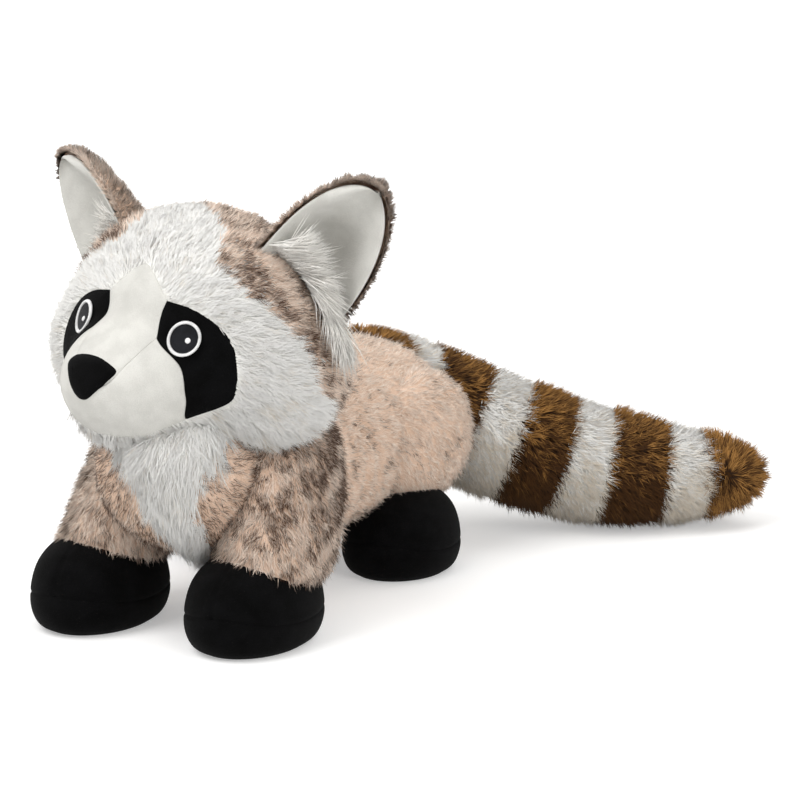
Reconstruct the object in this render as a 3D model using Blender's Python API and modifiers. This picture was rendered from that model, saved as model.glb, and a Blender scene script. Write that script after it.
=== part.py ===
"""A stuffed toy raccoon standing on four paws.

The head is a stuffed ball under sewn panels, turned a little to the animal's right and tipped to
its left. The body, legs, paws and the nine bands of the tail are stuffed sections that meet at
seams. Metres, +Z up, the animal looks along -Y and its left side is +X.
"""
import math

import bmesh
import bpy
import numpy as np
from mathutils import Matrix, Vector

# Driving dimensions, in metres. Pairs are the left side, and the right side mirrors it.
SEAM = 0.0003                  # gap that two touching pieces keep
REACH = 0.2                    # how far a cutter runs past the form that it cuts

HEAD_PLACE = (0.0, 0.022, 0.140)
HEAD_TURN = math.radians(-8)
HEAD_TIP = math.radians(3)
SKULL_PLACE, SKULL_SIZE = (0.0, 0.005, 0.006), (0.061, 0.048, 0.047)
CHEEK_PLACE, CHEEK_SIZE = (0.027, 0.007, -0.016), (0.047, 0.043, 0.039)
SNOUT_PLACE, SNOUT_SIZE = (0.0, -0.026, -0.020), (0.038, 0.046, 0.031)
HEAD_BLEND = 10                # higher keeps the four balls of the head more apart
HEAD_MERIDIANS, HEAD_PARALLELS = 30, 16
HEAD_CLOTH = 0.003             # thickness of the head's panels

# Outlines of the face, as (across, up) from the middle of the head, seen from the front.
PATCH_TOP, PATCH_INNER = (0.0165, 0.0192), (0.0180, 0.0040)
EYE_PATCH = (PATCH_TOP, (0.0290, 0.0178), (0.0410, 0.0112), (0.0478, 0.0015),
             (0.0505, -0.0120), (0.0480, -0.0225), (0.0330, -0.0310), (0.0346, -0.0203),
             (0.0308, -0.0070), PATCH_INNER, (0.0153, 0.0090), (0.0152, 0.0140))
PATCH_OUTER = EYE_PATCH[1:7]   # its corners from the brow round the outside to the jaw
BLAZE = ((0.0022, 0.0322), (0.0090, 0.0268), PATCH_TOP)
MOUTH_SEAM = (PATCH_INNER, (0.0150, -0.0045), (0.0080, -0.0150))
JAW = ((0.0220, -0.0400), (0.0100, -0.0440))
FACE_EDGE = ((-0.026, 0.046), (-0.025, 0.036), (-0.023, 0.027), (-0.014, 0.014), (-0.009, 0.001),
             (-0.004, -0.014), (0.004, -0.019), (0.024, -0.022), (0.030, -0.034))
# The white forehead's edges, as (across, along) from above: its left one from front to back, then
# its right one from back to front. It begins at this height above the middle.
FOREHEAD_EDGE = ((0.031, -0.026), (0.027, -0.018), (0.024, -0.010), (0.016, -0.005),
                 (0.006, 0.000), (-0.008, 0.010), (-0.021, 0.012), (-0.026, 0.000),
                 (-0.023, -0.013), (-0.023, -0.022), (-0.031, -0.026))
FOREHEAD_FLOOR = 0.030
FACE_PLANE = 0.008             # the cutters of the face start this far before the middle

NOSE_PLACE = -0.0030           # the nose is sewn a little to the right of the middle
NOSE_OUTLINE = ((0.0, -0.0038), (0.0080, -0.0050), (0.0146, -0.0088), (0.0112, -0.0145),
                (0.0045, -0.0222), (0.0, -0.0240))
NOSE_HEIGHT = 0.0028
EYE_PLACES = ((0.0238, 0.0045), (0.0262, 0.0050))   # the left one and the right one
EYE_TURN = math.radians(23)    # how far each eye looks outwards
EYE_DEPTH = -0.030             # where the rods that cut the eye start, behind the cloth
EYE_SIDES = 16
EYE_RING_RADIUS, EYE_RING_WIDTH = 0.0074, 0.0013
EYE_RING_HEIGHT, EYE_DISC_HEIGHT = 0.0012, 0.0008
GLINT_PLACE, GLINT_RADIUS = (0.0018, -0.0006), 0.0014

# An ear is a cupped leaf. Its root line runs down the side of the head from EAR_TOP to EAR_FOOT.
EAR_TOP, EAR_FOOT, EAR_TIP = (0.043, -0.003, 0.0415), (0.068, 0.012, 0.006), (0.087, 0.013, 0.076)
EAR_HALF_WIDTH, EAR_HEIGHT = 0.0262, 0.0597
EAR_MIDDLE_AT_ROOT = 0.0225
EAR_MIDDLES_AT_TIP = (0.0088, 0.0210)    # the right ear is bent further down its root line
EAR_ROUND = 2.4                # power of the leaf's outline: higher is squarer
EAR_CUP = 0.017                # depth of the hollow at the root
EAR_CUP_FADE = 0.75            # share of that depth that is lost at the tip
EAR_ROOT_DEPTH = 0.014         # how far the leaf is drawn below its root line, into the head
EAR_BACK_CLOTH, EAR_LINING_CLOTH = 0.0025, 0.0025
EAR_RIM = 0.0017               # width of the back's cloth that shows round the lining
EAR_COLUMNS, EAR_ROWS = 8, 6

# The body runs from the chest at BODY_FRONT to the rump. Its sections are shares of these
# sizes, as (length, lean, middle height, half width, half height).
BODY_FRONT, BODY_LENGTH = -0.032, 0.260
BODY_LEAN = 0.006              # the chest leans a little over the left paw
BODY_MIDDLE, BODY_HALF_WIDTH, BODY_HALF_HEIGHT = 0.066, 0.056, 0.050
TORSO_SECTIONS = ((0.000, 1.00, 1.20, 0.21, 0.24), (0.023, 1.00, 1.20, 0.54, 0.56),
                  (0.085, 1.00, 1.17, 0.73, 0.76), (0.200, 1.00, 1.12, 0.86, 0.88),
                  (0.354, 0.67, 1.03, 0.95, 0.96), (0.508, 0.33, 1.00, 0.98, 1.00),
                  (0.662, 0.00, 1.00, 1.00, 1.00), (0.815, 0.00, 0.97, 0.96, 0.94),
                  (0.912, 0.00, 0.94, 0.82, 0.82), (0.973, 0.00, 0.91, 0.55, 0.56),
                  (1.000, 0.00, 0.89, 0.21, 0.22))
TORSO_SIDES = 22
RUMP = BODY_FRONT + BODY_LENGTH
# Sections of a front leg and of the chest bib, as (height, across, lean to the left, along,
# half width, half depth).
FRONT_LEG_SECTIONS = ((0.0300, 0.042, 0.003, 0.012, 0.0265, 0.0320),
                      (0.0360, 0.042, 0.004, 0.014, 0.0285, 0.0340),
                      (0.0500, 0.040, 0.006, 0.019, 0.0285, 0.0355),
                      (0.0700, 0.036, 0.007, 0.027, 0.0285, 0.0365),
                      (0.0900, 0.031, 0.007, 0.033, 0.0260, 0.0345),
                      (0.1050, 0.026, 0.006, 0.037, 0.0170, 0.0240),
                      (0.1110, 0.024, 0.006, 0.038, 0.0060, 0.0080))
BIB_SECTIONS = ((0.0330, 0.0, 0.006, 0.002, 0.0060, 0.0080),
                (0.0400, 0.0, 0.006, -0.003, 0.0120, 0.0160),
                (0.0550, 0.0, 0.007, -0.010, 0.0200, 0.0230),
                (0.0720, 0.0, 0.007, -0.013, 0.0270, 0.0250),
                (HEAD_PLACE[2] - 0.052, 0.0, 0.008, -0.013, 0.0320, 0.0270),
                (HEAD_PLACE[2] - 0.036, 0.0, 0.008, -0.009, 0.0300, 0.0260))
LEG_SIDES, LEG_LEAD = 20, 0.27
THIGH_SIZE = (0.028, 0.048, 0.042)
THIGH_MERIDIANS, THIGH_PARALLELS = 18, 11
# Places of the left and the right one. The right hind leg stands a little further forward.
THIGH_PLACES = ((0.040, RUMP - 0.063, 0.057), (0.042, RUMP - 0.068, 0.057))

# A paw is a turned form stretched along the animal, and the sole is its lowest part.
FRONT_PAW_PLACES = ((0.042, 0.003), (0.0405, 0.003))
REAR_PAW_PLACES = ((0.044, RUMP - 0.082), (0.050, RUMP - 0.089))
FRONT_PAW_SIZE, REAR_PAW_SIZE = (0.0290, 0.0400), (0.0280, 0.0350)
PAW_HEIGHT, SOLE_HEIGHT = 0.043, 0.0145
PAW_SIDES = 18
SOLE_PROFILE = ((1.0, 1.0), (0.975, 0.60), (0.91, 0.20), (0.80, 0.0))
PAW_PROFILE = ((0.0, 1.0), (0.30, 0.965), (0.56, 0.86), (0.78, 0.66), (0.92, 0.42), (0.99, 0.18))
PAW_CAP = 0.4                  # width of the flat top against the ring below it

TAIL_PATH = ((-0.004, RUMP - 0.044, 0.082), (0.000, RUMP - 0.028, 0.078),
             (0.015, RUMP - 0.008, 0.068), (0.041, RUMP + 0.007, 0.0545),
             (0.070, RUMP + 0.022, 0.0425), (0.098, RUMP + 0.039, 0.0335),
             (0.127, RUMP + 0.055, 0.0290), (0.150, RUMP + 0.071, 0.0270),
             (0.168, RUMP + 0.081, 0.0265))
TAIL_RADII = (0.028, 0.029, 0.0305, 0.0315, 0.0310, 0.0297, 0.0255, 0.0200, 0.0155)
TAIL_BANDS = 9
TAIL_BAND = 0.0245             # length of each band but the last, which runs to the tip
TAIL_TIP = 0.007               # how far the round tip stands past the end of the path
TAIL_TIP_ROUND = 2.6           # power of the last band's outline
TAIL_TIP_LEAST = 0.03          # keeps the last ring open
TAIL_SIDES, TAIL_LEAD, TAIL_RINGS = 20, 0.35, 2
TAIL_STEPS = 12                # points of the smooth path in each span
TAIL_LOOK = 0.001              # the path's direction is taken over this much on each side

TAN = (0.60, 0.42, 0.33, 1)
WHITE = (0.82, 0.82, 0.80, 1)
BLACK = (0.006, 0.006, 0.007, 1)
BROWN = (0.22, 0.11, 0.04, 1)
PILE_ROUGHNESS, THREAD_ROUGHNESS = 0.9, 0.6


def clear_scene():
    for old in list(bpy.data.objects):
        bpy.data.objects.remove(old, do_unlink=True)


def new_collection(name):
    collection = bpy.data.collections.new(name)
    bpy.context.scene.collection.children.link(collection)
    return collection


def cloth(name, colour, roughness):
    material = bpy.data.materials.new(name)
    material.use_nodes = True
    shader = material.node_tree.nodes["Principled BSDF"]
    shader.inputs["Base Color"].default_value = colour
    shader.inputs["Roughness"].default_value = roughness
    shader.inputs["Metallic"].default_value = 0.0
    return material


def place_object(name, bm, collection, parent, facing=None):
    """Turn a bmesh into an object under its parent empty, shaded smooth.

    Each four-sided face is split along its first diagonal, so that a form and the slightly
    larger form that cuts its neighbour are split alike. An open sheet looks along facing.
    """
    bmesh.ops.recalc_face_normals(bm, faces=bm.faces)
    if facing is not None:
        total = sum((face.normal * face.calc_area() for face in bm.faces), Vector())
        if total.dot(Vector(facing)) < 0:
            bmesh.ops.reverse_faces(bm, faces=bm.faces)
    bmesh.ops.triangulate(bm, faces=bm.faces, quad_method="FIXED")
    mesh = bpy.data.meshes.new(name)
    bm.to_mesh(mesh)
    bm.free()
    mesh.shade_smooth()
    thing = bpy.data.objects.new(name, mesh)
    collection.objects.link(thing)
    thing.parent = parent
    return thing


def piece(name, bm, parent, colour, roughness=PILE_ROUGHNESS, facing=None):
    thing = place_object(name, bm, PIECES, parent, facing)
    thing.data.materials.append(cloth(name + "_cloth", colour, roughness))
    return thing


def cutter(name, bm, parent):
    thing = place_object("cut_" + name, bm, CUTTERS, parent)
    thing.hide_render = True
    thing.display_type = "WIRE"
    return thing


def cut(thing, operation, *tools):
    for tool in tools:
        boolean = thing.modifiers.new(operation.lower() + "_" + tool.name, "BOOLEAN")
        boolean.operation = operation
        boolean.solver = "EXACT"
        boolean.object = tool


def empty(name, parent=None, matrix=None):
    thing = bpy.data.objects.new(name, None)
    PIECES.objects.link(thing)
    thing.parent = parent
    if matrix is not None:
        thing.matrix_local = matrix
    return thing


def mirrored(point, side):
    return (point[0] * side,) + tuple(point[1:])


def ball_reach(ways, place, size):
    """How far each unit direction runs from the head's middle before it leaves one ball.

    With the direction d and the place c both divided by the ball's half sizes, the reach is
    (d.c + sqrt((d.c)^2 - d.d (c.c - 1))) / d.d.
    """
    d = ways / np.array(size)
    c = np.array(place) / np.array(size)
    dd, dc = (d * d).sum(1), d @ c
    return (dc + np.sqrt(dc * dc - dd * (c @ c - 1.0))) / dd


def head_radius(ways):
    """Radius of the head along each unit direction: a soft maximum of its four balls."""
    balls = [(SKULL_PLACE, SKULL_SIZE), (CHEEK_PLACE, CHEEK_SIZE),
             (mirrored(CHEEK_PLACE, -1), CHEEK_SIZE), (SNOUT_PLACE, SNOUT_SIZE)]
    reach = np.array([ball_reach(ways, place, size) for place, size in balls])
    most = reach.max(0)
    return most * ((reach / most) ** HEAD_BLEND).sum(0) ** (1.0 / HEAD_BLEND)


def head_form(grow):
    """The head's closed surface, moved outwards by grow along each direction."""
    bm = bmesh.new()
    bmesh.ops.create_uvsphere(bm, u_segments=HEAD_MERIDIANS, v_segments=HEAD_PARALLELS, radius=1)
    ways = np.array([vert.co.normalized() for vert in bm.verts])
    points = ways * (head_radius(ways) + grow)[:, None]
    for vert, point in zip(bm.verts, points):
        vert.co = point
    return bm


def widened(outline, grow):
    """Move each corner of a closed outline outwards so that its edges stand off by grow."""
    points = np.array(outline, float)
    area = np.cross(points, np.roll(points, -1, 0)).sum()
    edges = np.roll(points, -1, 0) - points
    normals = np.stack([edges[:, 1], -edges[:, 0]], 1) * np.sign(area)
    normals /= np.linalg.norm(normals, axis=1)[:, None]
    before = np.roll(normals, 1, 0)
    miter = (normals + before) / (1.0 + (normals * before).sum(1))[:, None]
    return points + miter * grow


def prism(outline, across, up, start, end, grow=0.0):
    """An outline in the plane of across and up, drawn out from start to end along their normal."""
    across, up = Vector(across), Vector(up)
    normal = across.cross(up)
    bm = bmesh.new()
    flat = [across * a + up * b + normal * start for a, b in widened(outline, grow)]
    face = bm.faces.new([bm.verts.new(point) for point in flat])
    grown = bmesh.ops.extrude_face_region(bm, geom=[face])
    moved = [item for item in grown["geom"] if isinstance(item, bmesh.types.BMVert)]
    bmesh.ops.translate(bm, verts=moved, vec=normal * (end - start))
    return bm


def both_sides(half):
    """Close a half outline with its mirror image. A corner on the middle line is kept once."""
    return list(half) + [(-a, b) for a, b in reversed(half) if a > 0.0]


def front_prism(outline, grow=0.0):
    """A prism through the front of the head, seen from the front."""
    return prism(outline, (1, 0, 0), (0, 0, 1), FACE_PLANE, REACH, grow)


def loft(rings):
    """Join closed rings of equal count into one skin and close both ends with a flat face."""
    bm = bmesh.new()
    loops = [[bm.verts.new(point) for point in ring] for ring in rings]
    count = len(loops[0])
    for low, high in zip(loops, loops[1:]):
        for i in range(count):
            j = (i + 1) % count
            bm.faces.new((low[i], low[j], high[j], high[i]))
    bm.faces.new(loops[0])
    bm.faces.new(loops[-1])
    return bm


def ellipse(middle, wide, high, sides, lead=0.0):
    """Points of an ellipse round a middle; the first one leads by a share of a step."""
    turn = (np.arange(sides)[:, None] + lead) * 2.0 * math.pi / sides
    return np.array(middle) + np.cos(turn) * np.array(wide) + np.sin(turn) * np.array(high)


def torso_form(grow=0.0):
    last = len(TORSO_SECTIONS) - 1
    rings = []
    for i, (along, lean, height, half, tall) in enumerate(TORSO_SECTIONS):
        push = -grow if i == 0 else grow if i == last else 0.0
        middle = (lean * BODY_LEAN, BODY_FRONT + along * BODY_LENGTH + push, height * BODY_MIDDLE)
        rings.append(ellipse(middle, (half * BODY_HALF_WIDTH + grow, 0, 0),
                             (0, 0, tall * BODY_HALF_HEIGHT + grow), TORSO_SIDES))
    return loft(rings)


def column_form(sections, side, grow=0.0):
    """A stuffed column whose level sections are ellipses, for a front leg or the bib."""
    last = len(sections) - 1
    rings = []
    for i, (height, across, lean, along, half, deep) in enumerate(sections):
        push = -grow if i == 0 else grow if i == last else 0.0
        middle = (across * side + lean, along, height + push)
        rings.append(ellipse(middle, (half + grow, 0, 0), (0, deep + grow, 0), LEG_SIDES, LEG_LEAD))
    return loft(rings)


def thigh_form(place, size, side, grow=0.0):
    bm = bmesh.new()
    bmesh.ops.create_uvsphere(bm, u_segments=THIGH_MERIDIANS, v_segments=THIGH_PARALLELS,
                              radius=1)
    scale = Matrix.Diagonal([half + grow for half in size] + [1])
    bring = Matrix.Translation(mirrored(place, side))
    bmesh.ops.transform(bm, matrix=bring @ scale, verts=bm.verts)
    return bm


def paw_rings(profile, base, tall, place, size, side, grow):
    rings = []
    for rise, share in profile:
        middle = (place[0] * side, place[1], base + rise * tall)
        rings.append(ellipse(middle, (size[0] * share + grow, 0, 0),
                             (0, size[1] * share + grow, 0), PAW_SIDES))
    return rings


def paw_form(place, size, side, grow=0.0):
    """The upper of a paw, from the sole's seam to its round top."""
    base = SOLE_HEIGHT + SEAM
    rings = paw_rings(PAW_PROFILE, base, PAW_HEIGHT - base, place, size, side, grow)
    top = np.array(rings[-1])
    middle = top.mean(0)
    lift = np.array((0, 0, PAW_HEIGHT + grow - middle[2]))
    rings.append(middle + (top - middle) * PAW_CAP + lift)
    return loft(rings)


def sole_form(place, size, side):
    profile = [(rise, share) for share, rise in reversed(SOLE_PROFILE)]
    return loft(paw_rings(profile, 0.0, SOLE_HEIGHT, place, size, side, 0.0))


def smooth_path(points, steps):
    """A Catmull-Rom curve through the points: each span blends its two ends and their slopes."""
    points = np.array(points, float)
    padded = np.vstack([2 * points[0] - points[1], points, 2 * points[-1] - points[-2]])
    t = np.linspace(0.0, 1.0, steps, endpoint=False)[:, None]
    out = []
    for a, b, c, d in zip(padded, padded[1:], padded[2:], padded[3:]):
        out.append(0.5 * (2 * b + (c - a) * t + (2 * a - 5 * b + 4 * c - d) * t ** 2
                          + (3 * b - a - 3 * c + d) * t ** 3))
    return np.vstack(out + [points[-1:]])


def tail_band(start, end, path, radii, length, closed_tip):
    """One band of the tail: level rings square to the path, from start to end along it."""
    runs = np.linspace(start, end, (2 if closed_tip else 1) * TAIL_RINGS + 1)
    middles, ahead, behind = (
        np.stack([np.interp(runs + step, length, path[:, k]) for k in range(3)], 1)
        for step in (0.0, TAIL_LOOK, -TAIL_LOOK))
    ways = ahead - behind
    ways /= np.linalg.norm(ways, axis=1)[:, None]
    sides = np.cross(ways, (0, 0, 1.0))
    sides /= np.linalg.norm(sides, axis=1)[:, None]
    ups = np.cross(sides, ways)
    halves = np.interp(runs, length, radii)
    if closed_tip:
        along = (runs - start) / (end - start)
        halves = halves * np.sqrt(np.clip(1.0 - along ** TAIL_TIP_ROUND, TAIL_TIP_LEAST, 1.0))
    rings = [ellipse(m, s * h, u * h, TAIL_SIDES, TAIL_LEAD)
             for m, s, u, h in zip(middles, sides, ups, halves)]
    return loft(rings)


def ear_frame(side):
    """The ear's own axes: down its root line, up to its tip, and out of its hollow."""
    top, foot, tip = (np.array(mirrored(point, side)) for point in (EAR_TOP, EAR_FOOT, EAR_TIP))
    down = (foot - top) / np.linalg.norm(foot - top)
    out = np.cross(down, tip - top) * side
    out /= np.linalg.norm(out)
    rise = np.cross(out, down) * side
    return top, down, rise, out


def ear_sheet(side, inset, forward):
    """An open leaf: half width w(t) = W sqrt(1 - t^round), hollowed by cup(t) (1 - s^2).

    s runs from edge to edge and t from root to tip. The hollow fades towards the tip.
    """
    top, down, rise, out = ear_frame(side)
    s = np.linspace(-1.0, 1.0, EAR_COLUMNS + 1)
    rows = np.sin(np.linspace(0.0, 0.5 * math.pi, EAR_ROWS + 1))[:-1]
    low = -EAR_ROOT_DEPTH / EAR_HEIGHT
    tip_middle = of_side(EAR_MIDDLES_AT_TIP, side)
    levels = np.concatenate([[low], rows])
    bm = bmesh.new()
    grid = []
    for t in levels:
        above = max(t, 0.0)
        half = EAR_HALF_WIDTH * math.sqrt(1.0 - above ** EAR_ROUND) - inset
        middle = EAR_MIDDLE_AT_ROOT + (tip_middle - EAR_MIDDLE_AT_ROOT) * above
        cup = EAR_CUP * (1.0 - EAR_CUP_FADE * above)
        tall = t * (EAR_HEIGHT - inset)
        row = []
        for value in s:
            depth = cup * (1.0 - value ** 2) - forward
            point = top + down * (middle + half * value) + rise * tall - out * depth
            row.append(bm.verts.new(point))
        grid.append(row)
    for low_row, high_row in zip(grid, grid[1:]):
        for i in range(EAR_COLUMNS):
            bm.faces.new((low_row[i], low_row[i + 1], high_row[i + 1], high_row[i]))
    tip_depth = 0.5 * EAR_CUP * (1.0 - EAR_CUP_FADE) - forward
    tip_point = top + down * tip_middle + rise * (EAR_HEIGHT - inset) - out * tip_depth
    tip = bm.verts.new(tip_point)
    for i in range(EAR_COLUMNS):
        bm.faces.new((grid[-1][i], grid[-1][i + 1], tip))
    return bm, out


def thicken(thing, thickness, offset):
    solid = thing.modifiers.new("cloth", "SOLIDIFY")
    solid.thickness = thickness
    solid.offset = offset


def side_name(side):
    return "left" if side > 0 else "right"


def of_side(pair, side):
    """The left or the right one of a pair of places."""
    return pair[0] if side > 0 else pair[1]


def build_head(root):
    turned = Matrix.Rotation(HEAD_TURN, 4, "Z") @ Matrix.Rotation(HEAD_TIP, 4, "Y")
    head = empty("head_frame", root, Matrix.Translation(HEAD_PLACE) @ turned)
    lining = cutter("head_lining", head_form(-HEAD_CLOTH), head)
    surface = cutter("head_surface", head_form(SEAM), head)
    piece("head_stuffing", head_form(-HEAD_CLOTH - SEAM), head, WHITE)

    patch = {}
    patch_gap = {}
    for side in (1, -1):
        outline = [mirrored(point, side) for point in EYE_PATCH]
        patch[side] = cutter("patch_" + side_name(side), front_prism(outline), head)
        patch_gap[side] = cutter("patch_gap_" + side_name(side), front_prism(outline, SEAM), head)
        cloth_patch = piece("eye_patch_" + side_name(side), head_form(0.0), head, BLACK)
        cut(cloth_patch, "INTERSECT", patch[side])
        cut(cloth_patch, "DIFFERENCE", lining)
    gaps = (patch_gap[1], patch_gap[-1])

    bridge_half = BLAZE + MOUTH_SEAM
    bridge_outline = both_sides(bridge_half)
    bridge = cutter("bridge", front_prism(bridge_outline), head)
    bridge_gap = cutter("bridge_gap", front_prism(bridge_outline, SEAM), head)
    muzzle_bridge = piece("muzzle_bridge", head_form(0.0), head, WHITE)
    cut(muzzle_bridge, "INTERSECT", bridge)
    cut(muzzle_bridge, "DIFFERENCE", lining, *gaps)

    mask_outline = both_sides(BLAZE + PATCH_OUTER + JAW)
    mask = cutter("mask", front_prism(mask_outline), head)
    mask_gap = cutter("mask_gap", front_prism(mask_outline, SEAM), head)
    muzzle_jaw = piece("muzzle_jaw", head_form(0.0), head, WHITE)
    cut(muzzle_jaw, "INTERSECT", mask)
    cut(muzzle_jaw, "DIFFERENCE", lining, bridge_gap, *gaps)

    face_foot, face_top = FACE_EDGE[-1][0], FACE_EDGE[0][1]
    face_side = FACE_EDGE + ((face_foot, -REACH), (-REACH, -REACH), (-REACH, face_top))
    side_view = (face_side, (0, 1, 0), (0, 0, 1), -REACH, REACH)
    face_front = cutter("face_front", prism(*side_view), head)
    front_gap = cutter("face_front_gap", prism(*side_view, SEAM), head)
    wide_left, wide_right = FOREHEAD_EDGE[0][0], FOREHEAD_EDGE[-1][0]
    wedge = ((wide_left, -REACH),) + FOREHEAD_EDGE + ((wide_right, -REACH),)
    top_view = (wedge, (1, 0, 0), (0, 1, 0))
    forehead = cutter("forehead", prism(*top_view, FOREHEAD_FLOOR, REACH), head)
    forehead_gap = cutter("forehead_gap", prism(*top_view, FOREHEAD_FLOOR - SEAM, REACH, SEAM),
                          head)
    cut(face_front, "UNION", forehead)
    cut(front_gap, "UNION", forehead_gap)

    face = piece("face_fur", head_form(0.0), head, WHITE)
    cut(face, "INTERSECT", face_front)
    cut(face, "DIFFERENCE", lining, mask_gap)
    crown = piece("crown_fur", head_form(0.0), head, TAN)
    cut(crown, "DIFFERENCE", front_gap, lining)

    build_nose(head, surface)
    for side in (1, -1):
        build_eye(head, surface, side)
        build_ear(head, surface, side)
    return head


def build_nose(head, surface):
    outline = [(across + NOSE_PLACE, up) for across, up in both_sides(NOSE_OUTLINE)]
    shape = cutter("nose", front_prism(outline), head)
    nose = piece("nose", head_form(NOSE_HEIGHT), head, BLACK)
    cut(nose, "INTERSECT", shape)
    cut(nose, "DIFFERENCE", surface)


def eye_rod(radius, side, shift=(0.0, 0.0)):
    """A round rod along the eye's line of sight."""
    bm = bmesh.new()
    bmesh.ops.create_cone(bm, cap_ends=True, segments=EYE_SIDES, radius1=radius,
                          radius2=radius, depth=REACH)
    look = Matrix.Rotation(EYE_TURN * side, 4, "Z") @ Matrix.Rotation(math.radians(90), 4, "X")
    across, up = of_side(EYE_PLACES, side)
    onto = Matrix.Translation((across * side, EYE_DEPTH, up))
    bring = Matrix.Translation((shift[0], shift[1], 0.5 * REACH))
    bmesh.ops.transform(bm, matrix=onto @ look @ bring, verts=bm.verts)
    return bm


def build_eye(head, surface, side):
    name = side_name(side)
    inner = EYE_RING_RADIUS - EYE_RING_WIDTH
    outer_rod = cutter("ring_outer_" + name, eye_rod(EYE_RING_RADIUS, side), head)
    inner_rod = cutter("ring_inner_" + name, eye_rod(inner, side), head)
    disc_rod = cutter("disc_" + name, eye_rod(inner - SEAM, side), head)
    glint_rod = cutter("glint_" + name, eye_rod(GLINT_RADIUS, side, GLINT_PLACE), head)
    glint_gap = cutter("glint_gap_" + name, eye_rod(GLINT_RADIUS + SEAM, side, GLINT_PLACE), head)
    ring = piece("eye_ring_" + name, head_form(EYE_RING_HEIGHT), head, WHITE, THREAD_ROUGHNESS)
    cut(ring, "INTERSECT", outer_rod)
    cut(ring, "DIFFERENCE", inner_rod, surface)
    disc = piece("eye_disc_" + name, head_form(EYE_DISC_HEIGHT), head, BLACK, THREAD_ROUGHNESS)
    cut(disc, "INTERSECT", disc_rod)
    cut(disc, "DIFFERENCE", glint_gap, surface)
    glint = piece("eye_glint_" + name, head_form(EYE_RING_HEIGHT), head, WHITE, THREAD_ROUGHNESS)
    cut(glint, "INTERSECT", glint_rod)
    cut(glint, "DIFFERENCE", surface)


def build_ear(head, surface, side):
    sheet, out = ear_sheet(side, 0.0, 0.0)
    back = piece("ear_back_" + side_name(side), sheet, head, TAN, facing=out)
    thicken(back, EAR_BACK_CLOTH, -1.0)
    cut(back, "DIFFERENCE", surface)
    sheet, out = ear_sheet(side, EAR_RIM, 2.0 * SEAM)
    lining = piece("ear_lining_" + side_name(side), sheet, head, WHITE, facing=out)
    thicken(lining, EAR_LINING_CLOTH, 1.0)
    cut(lining, "DIFFERENCE", surface)


def build_body(root, head):
    head_gap = cutter("head_gap", head_form(SEAM), head)
    torso = piece("torso", torso_form(), root, TAN)
    bib = piece("chest_bib", column_form(BIB_SECTIONS, 1), root, WHITE)
    torso_gap = cutter("torso_gap", torso_form(SEAM), root)
    cut(torso, "DIFFERENCE", head_gap)
    cut(bib, "DIFFERENCE", head_gap, torso_gap)
    gaps = [torso_gap]
    for side in (1, -1):
        name = side_name(side)
        leg = piece("front_leg_" + name, column_form(FRONT_LEG_SECTIONS, side), root, TAN)
        leg_gap = cutter("front_leg_gap_" + name,
                         column_form(FRONT_LEG_SECTIONS, side, SEAM), root)
        front = (of_side(FRONT_PAW_PLACES, side), FRONT_PAW_SIZE, side)
        front_gap = cutter("front_paw_gap_" + name, paw_form(*front, SEAM), root)
        cut(leg, "DIFFERENCE", head_gap, front_gap)
        cut(torso, "DIFFERENCE", leg_gap)
        cut(bib, "DIFFERENCE", leg_gap)
        piece("front_paw_" + name, paw_form(*front), root, BLACK)
        piece("front_sole_" + name, sole_form(*front), root, BLACK)

        haunch = (of_side(THIGH_PLACES, side), THIGH_SIZE, side)
        thigh = piece("thigh_" + name, thigh_form(*haunch), root, TAN)
        thigh_gap = cutter("thigh_gap_" + name, thigh_form(*haunch, SEAM), root)
        rear = (of_side(REAR_PAW_PLACES, side), REAR_PAW_SIZE, side)
        rear_gap = cutter("rear_paw_gap_" + name, paw_form(*rear, SEAM), root)
        cut(thigh, "DIFFERENCE", rear_gap)
        cut(torso, "DIFFERENCE", thigh_gap, rear_gap)
        piece("rear_paw_" + name, paw_form(*rear), root, BLACK)
        piece("rear_sole_" + name, sole_form(*rear), root, BLACK)
        gaps.append(thigh_gap)
    return gaps


def build_tail(root, gaps):
    """Bands of stuffed tube along the tail's path, cut off where they meet the body's gaps."""
    path = smooth_path(TAIL_PATH, TAIL_STEPS)
    steps = np.linalg.norm(np.diff(path, axis=0), axis=1)
    length = np.concatenate([[0.0], np.cumsum(steps)])
    radii = np.interp(length, length[::TAIL_STEPS], TAIL_RADII)
    tip = path[-1] + (path[-1] - path[-2]) / steps[-1] * TAIL_TIP
    path = np.vstack([path, tip])
    length = np.append(length, length[-1] + TAIL_TIP)
    radii = np.append(radii, radii[-1])
    for band in range(TAIL_BANDS):
        start = band * TAIL_BAND + 0.5 * SEAM
        is_tip = band == TAIL_BANDS - 1
        end = length[-1] if is_tip else (band + 1) * TAIL_BAND - 0.5 * SEAM
        colour = BROWN if band % 2 == 0 else WHITE
        form = tail_band(start, end, path, radii, length, is_tip)
        section = piece("tail_band_%d" % (band + 1), form, root, colour)
        cut(section, "DIFFERENCE", *gaps)


def centre_on_floor(root):
    """Bring the middle of the whole outline, seen from above, over the origin."""
    bpy.context.view_layer.update()
    graph = bpy.context.evaluated_depsgraph_get()
    points = []
    for thing in PIECES.objects:
        if thing.type == "MESH":
            ready = thing.evaluated_get(graph)
            points += [ready.matrix_world @ vert.co for vert in ready.data.vertices]
    low, high = np.min(points, 0), np.max(points, 0)
    middle = 0.5 * (low + high)
    root.location = (-middle[0], -middle[1], -low[2])


clear_scene()
PIECES = new_collection("plush_raccoon")
CUTTERS = new_collection("cutters")
toy = empty("toy_frame")
toy_head = build_head(toy)
build_tail(toy, build_body(toy, toy_head))
centre_on_floor(toy)
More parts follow.
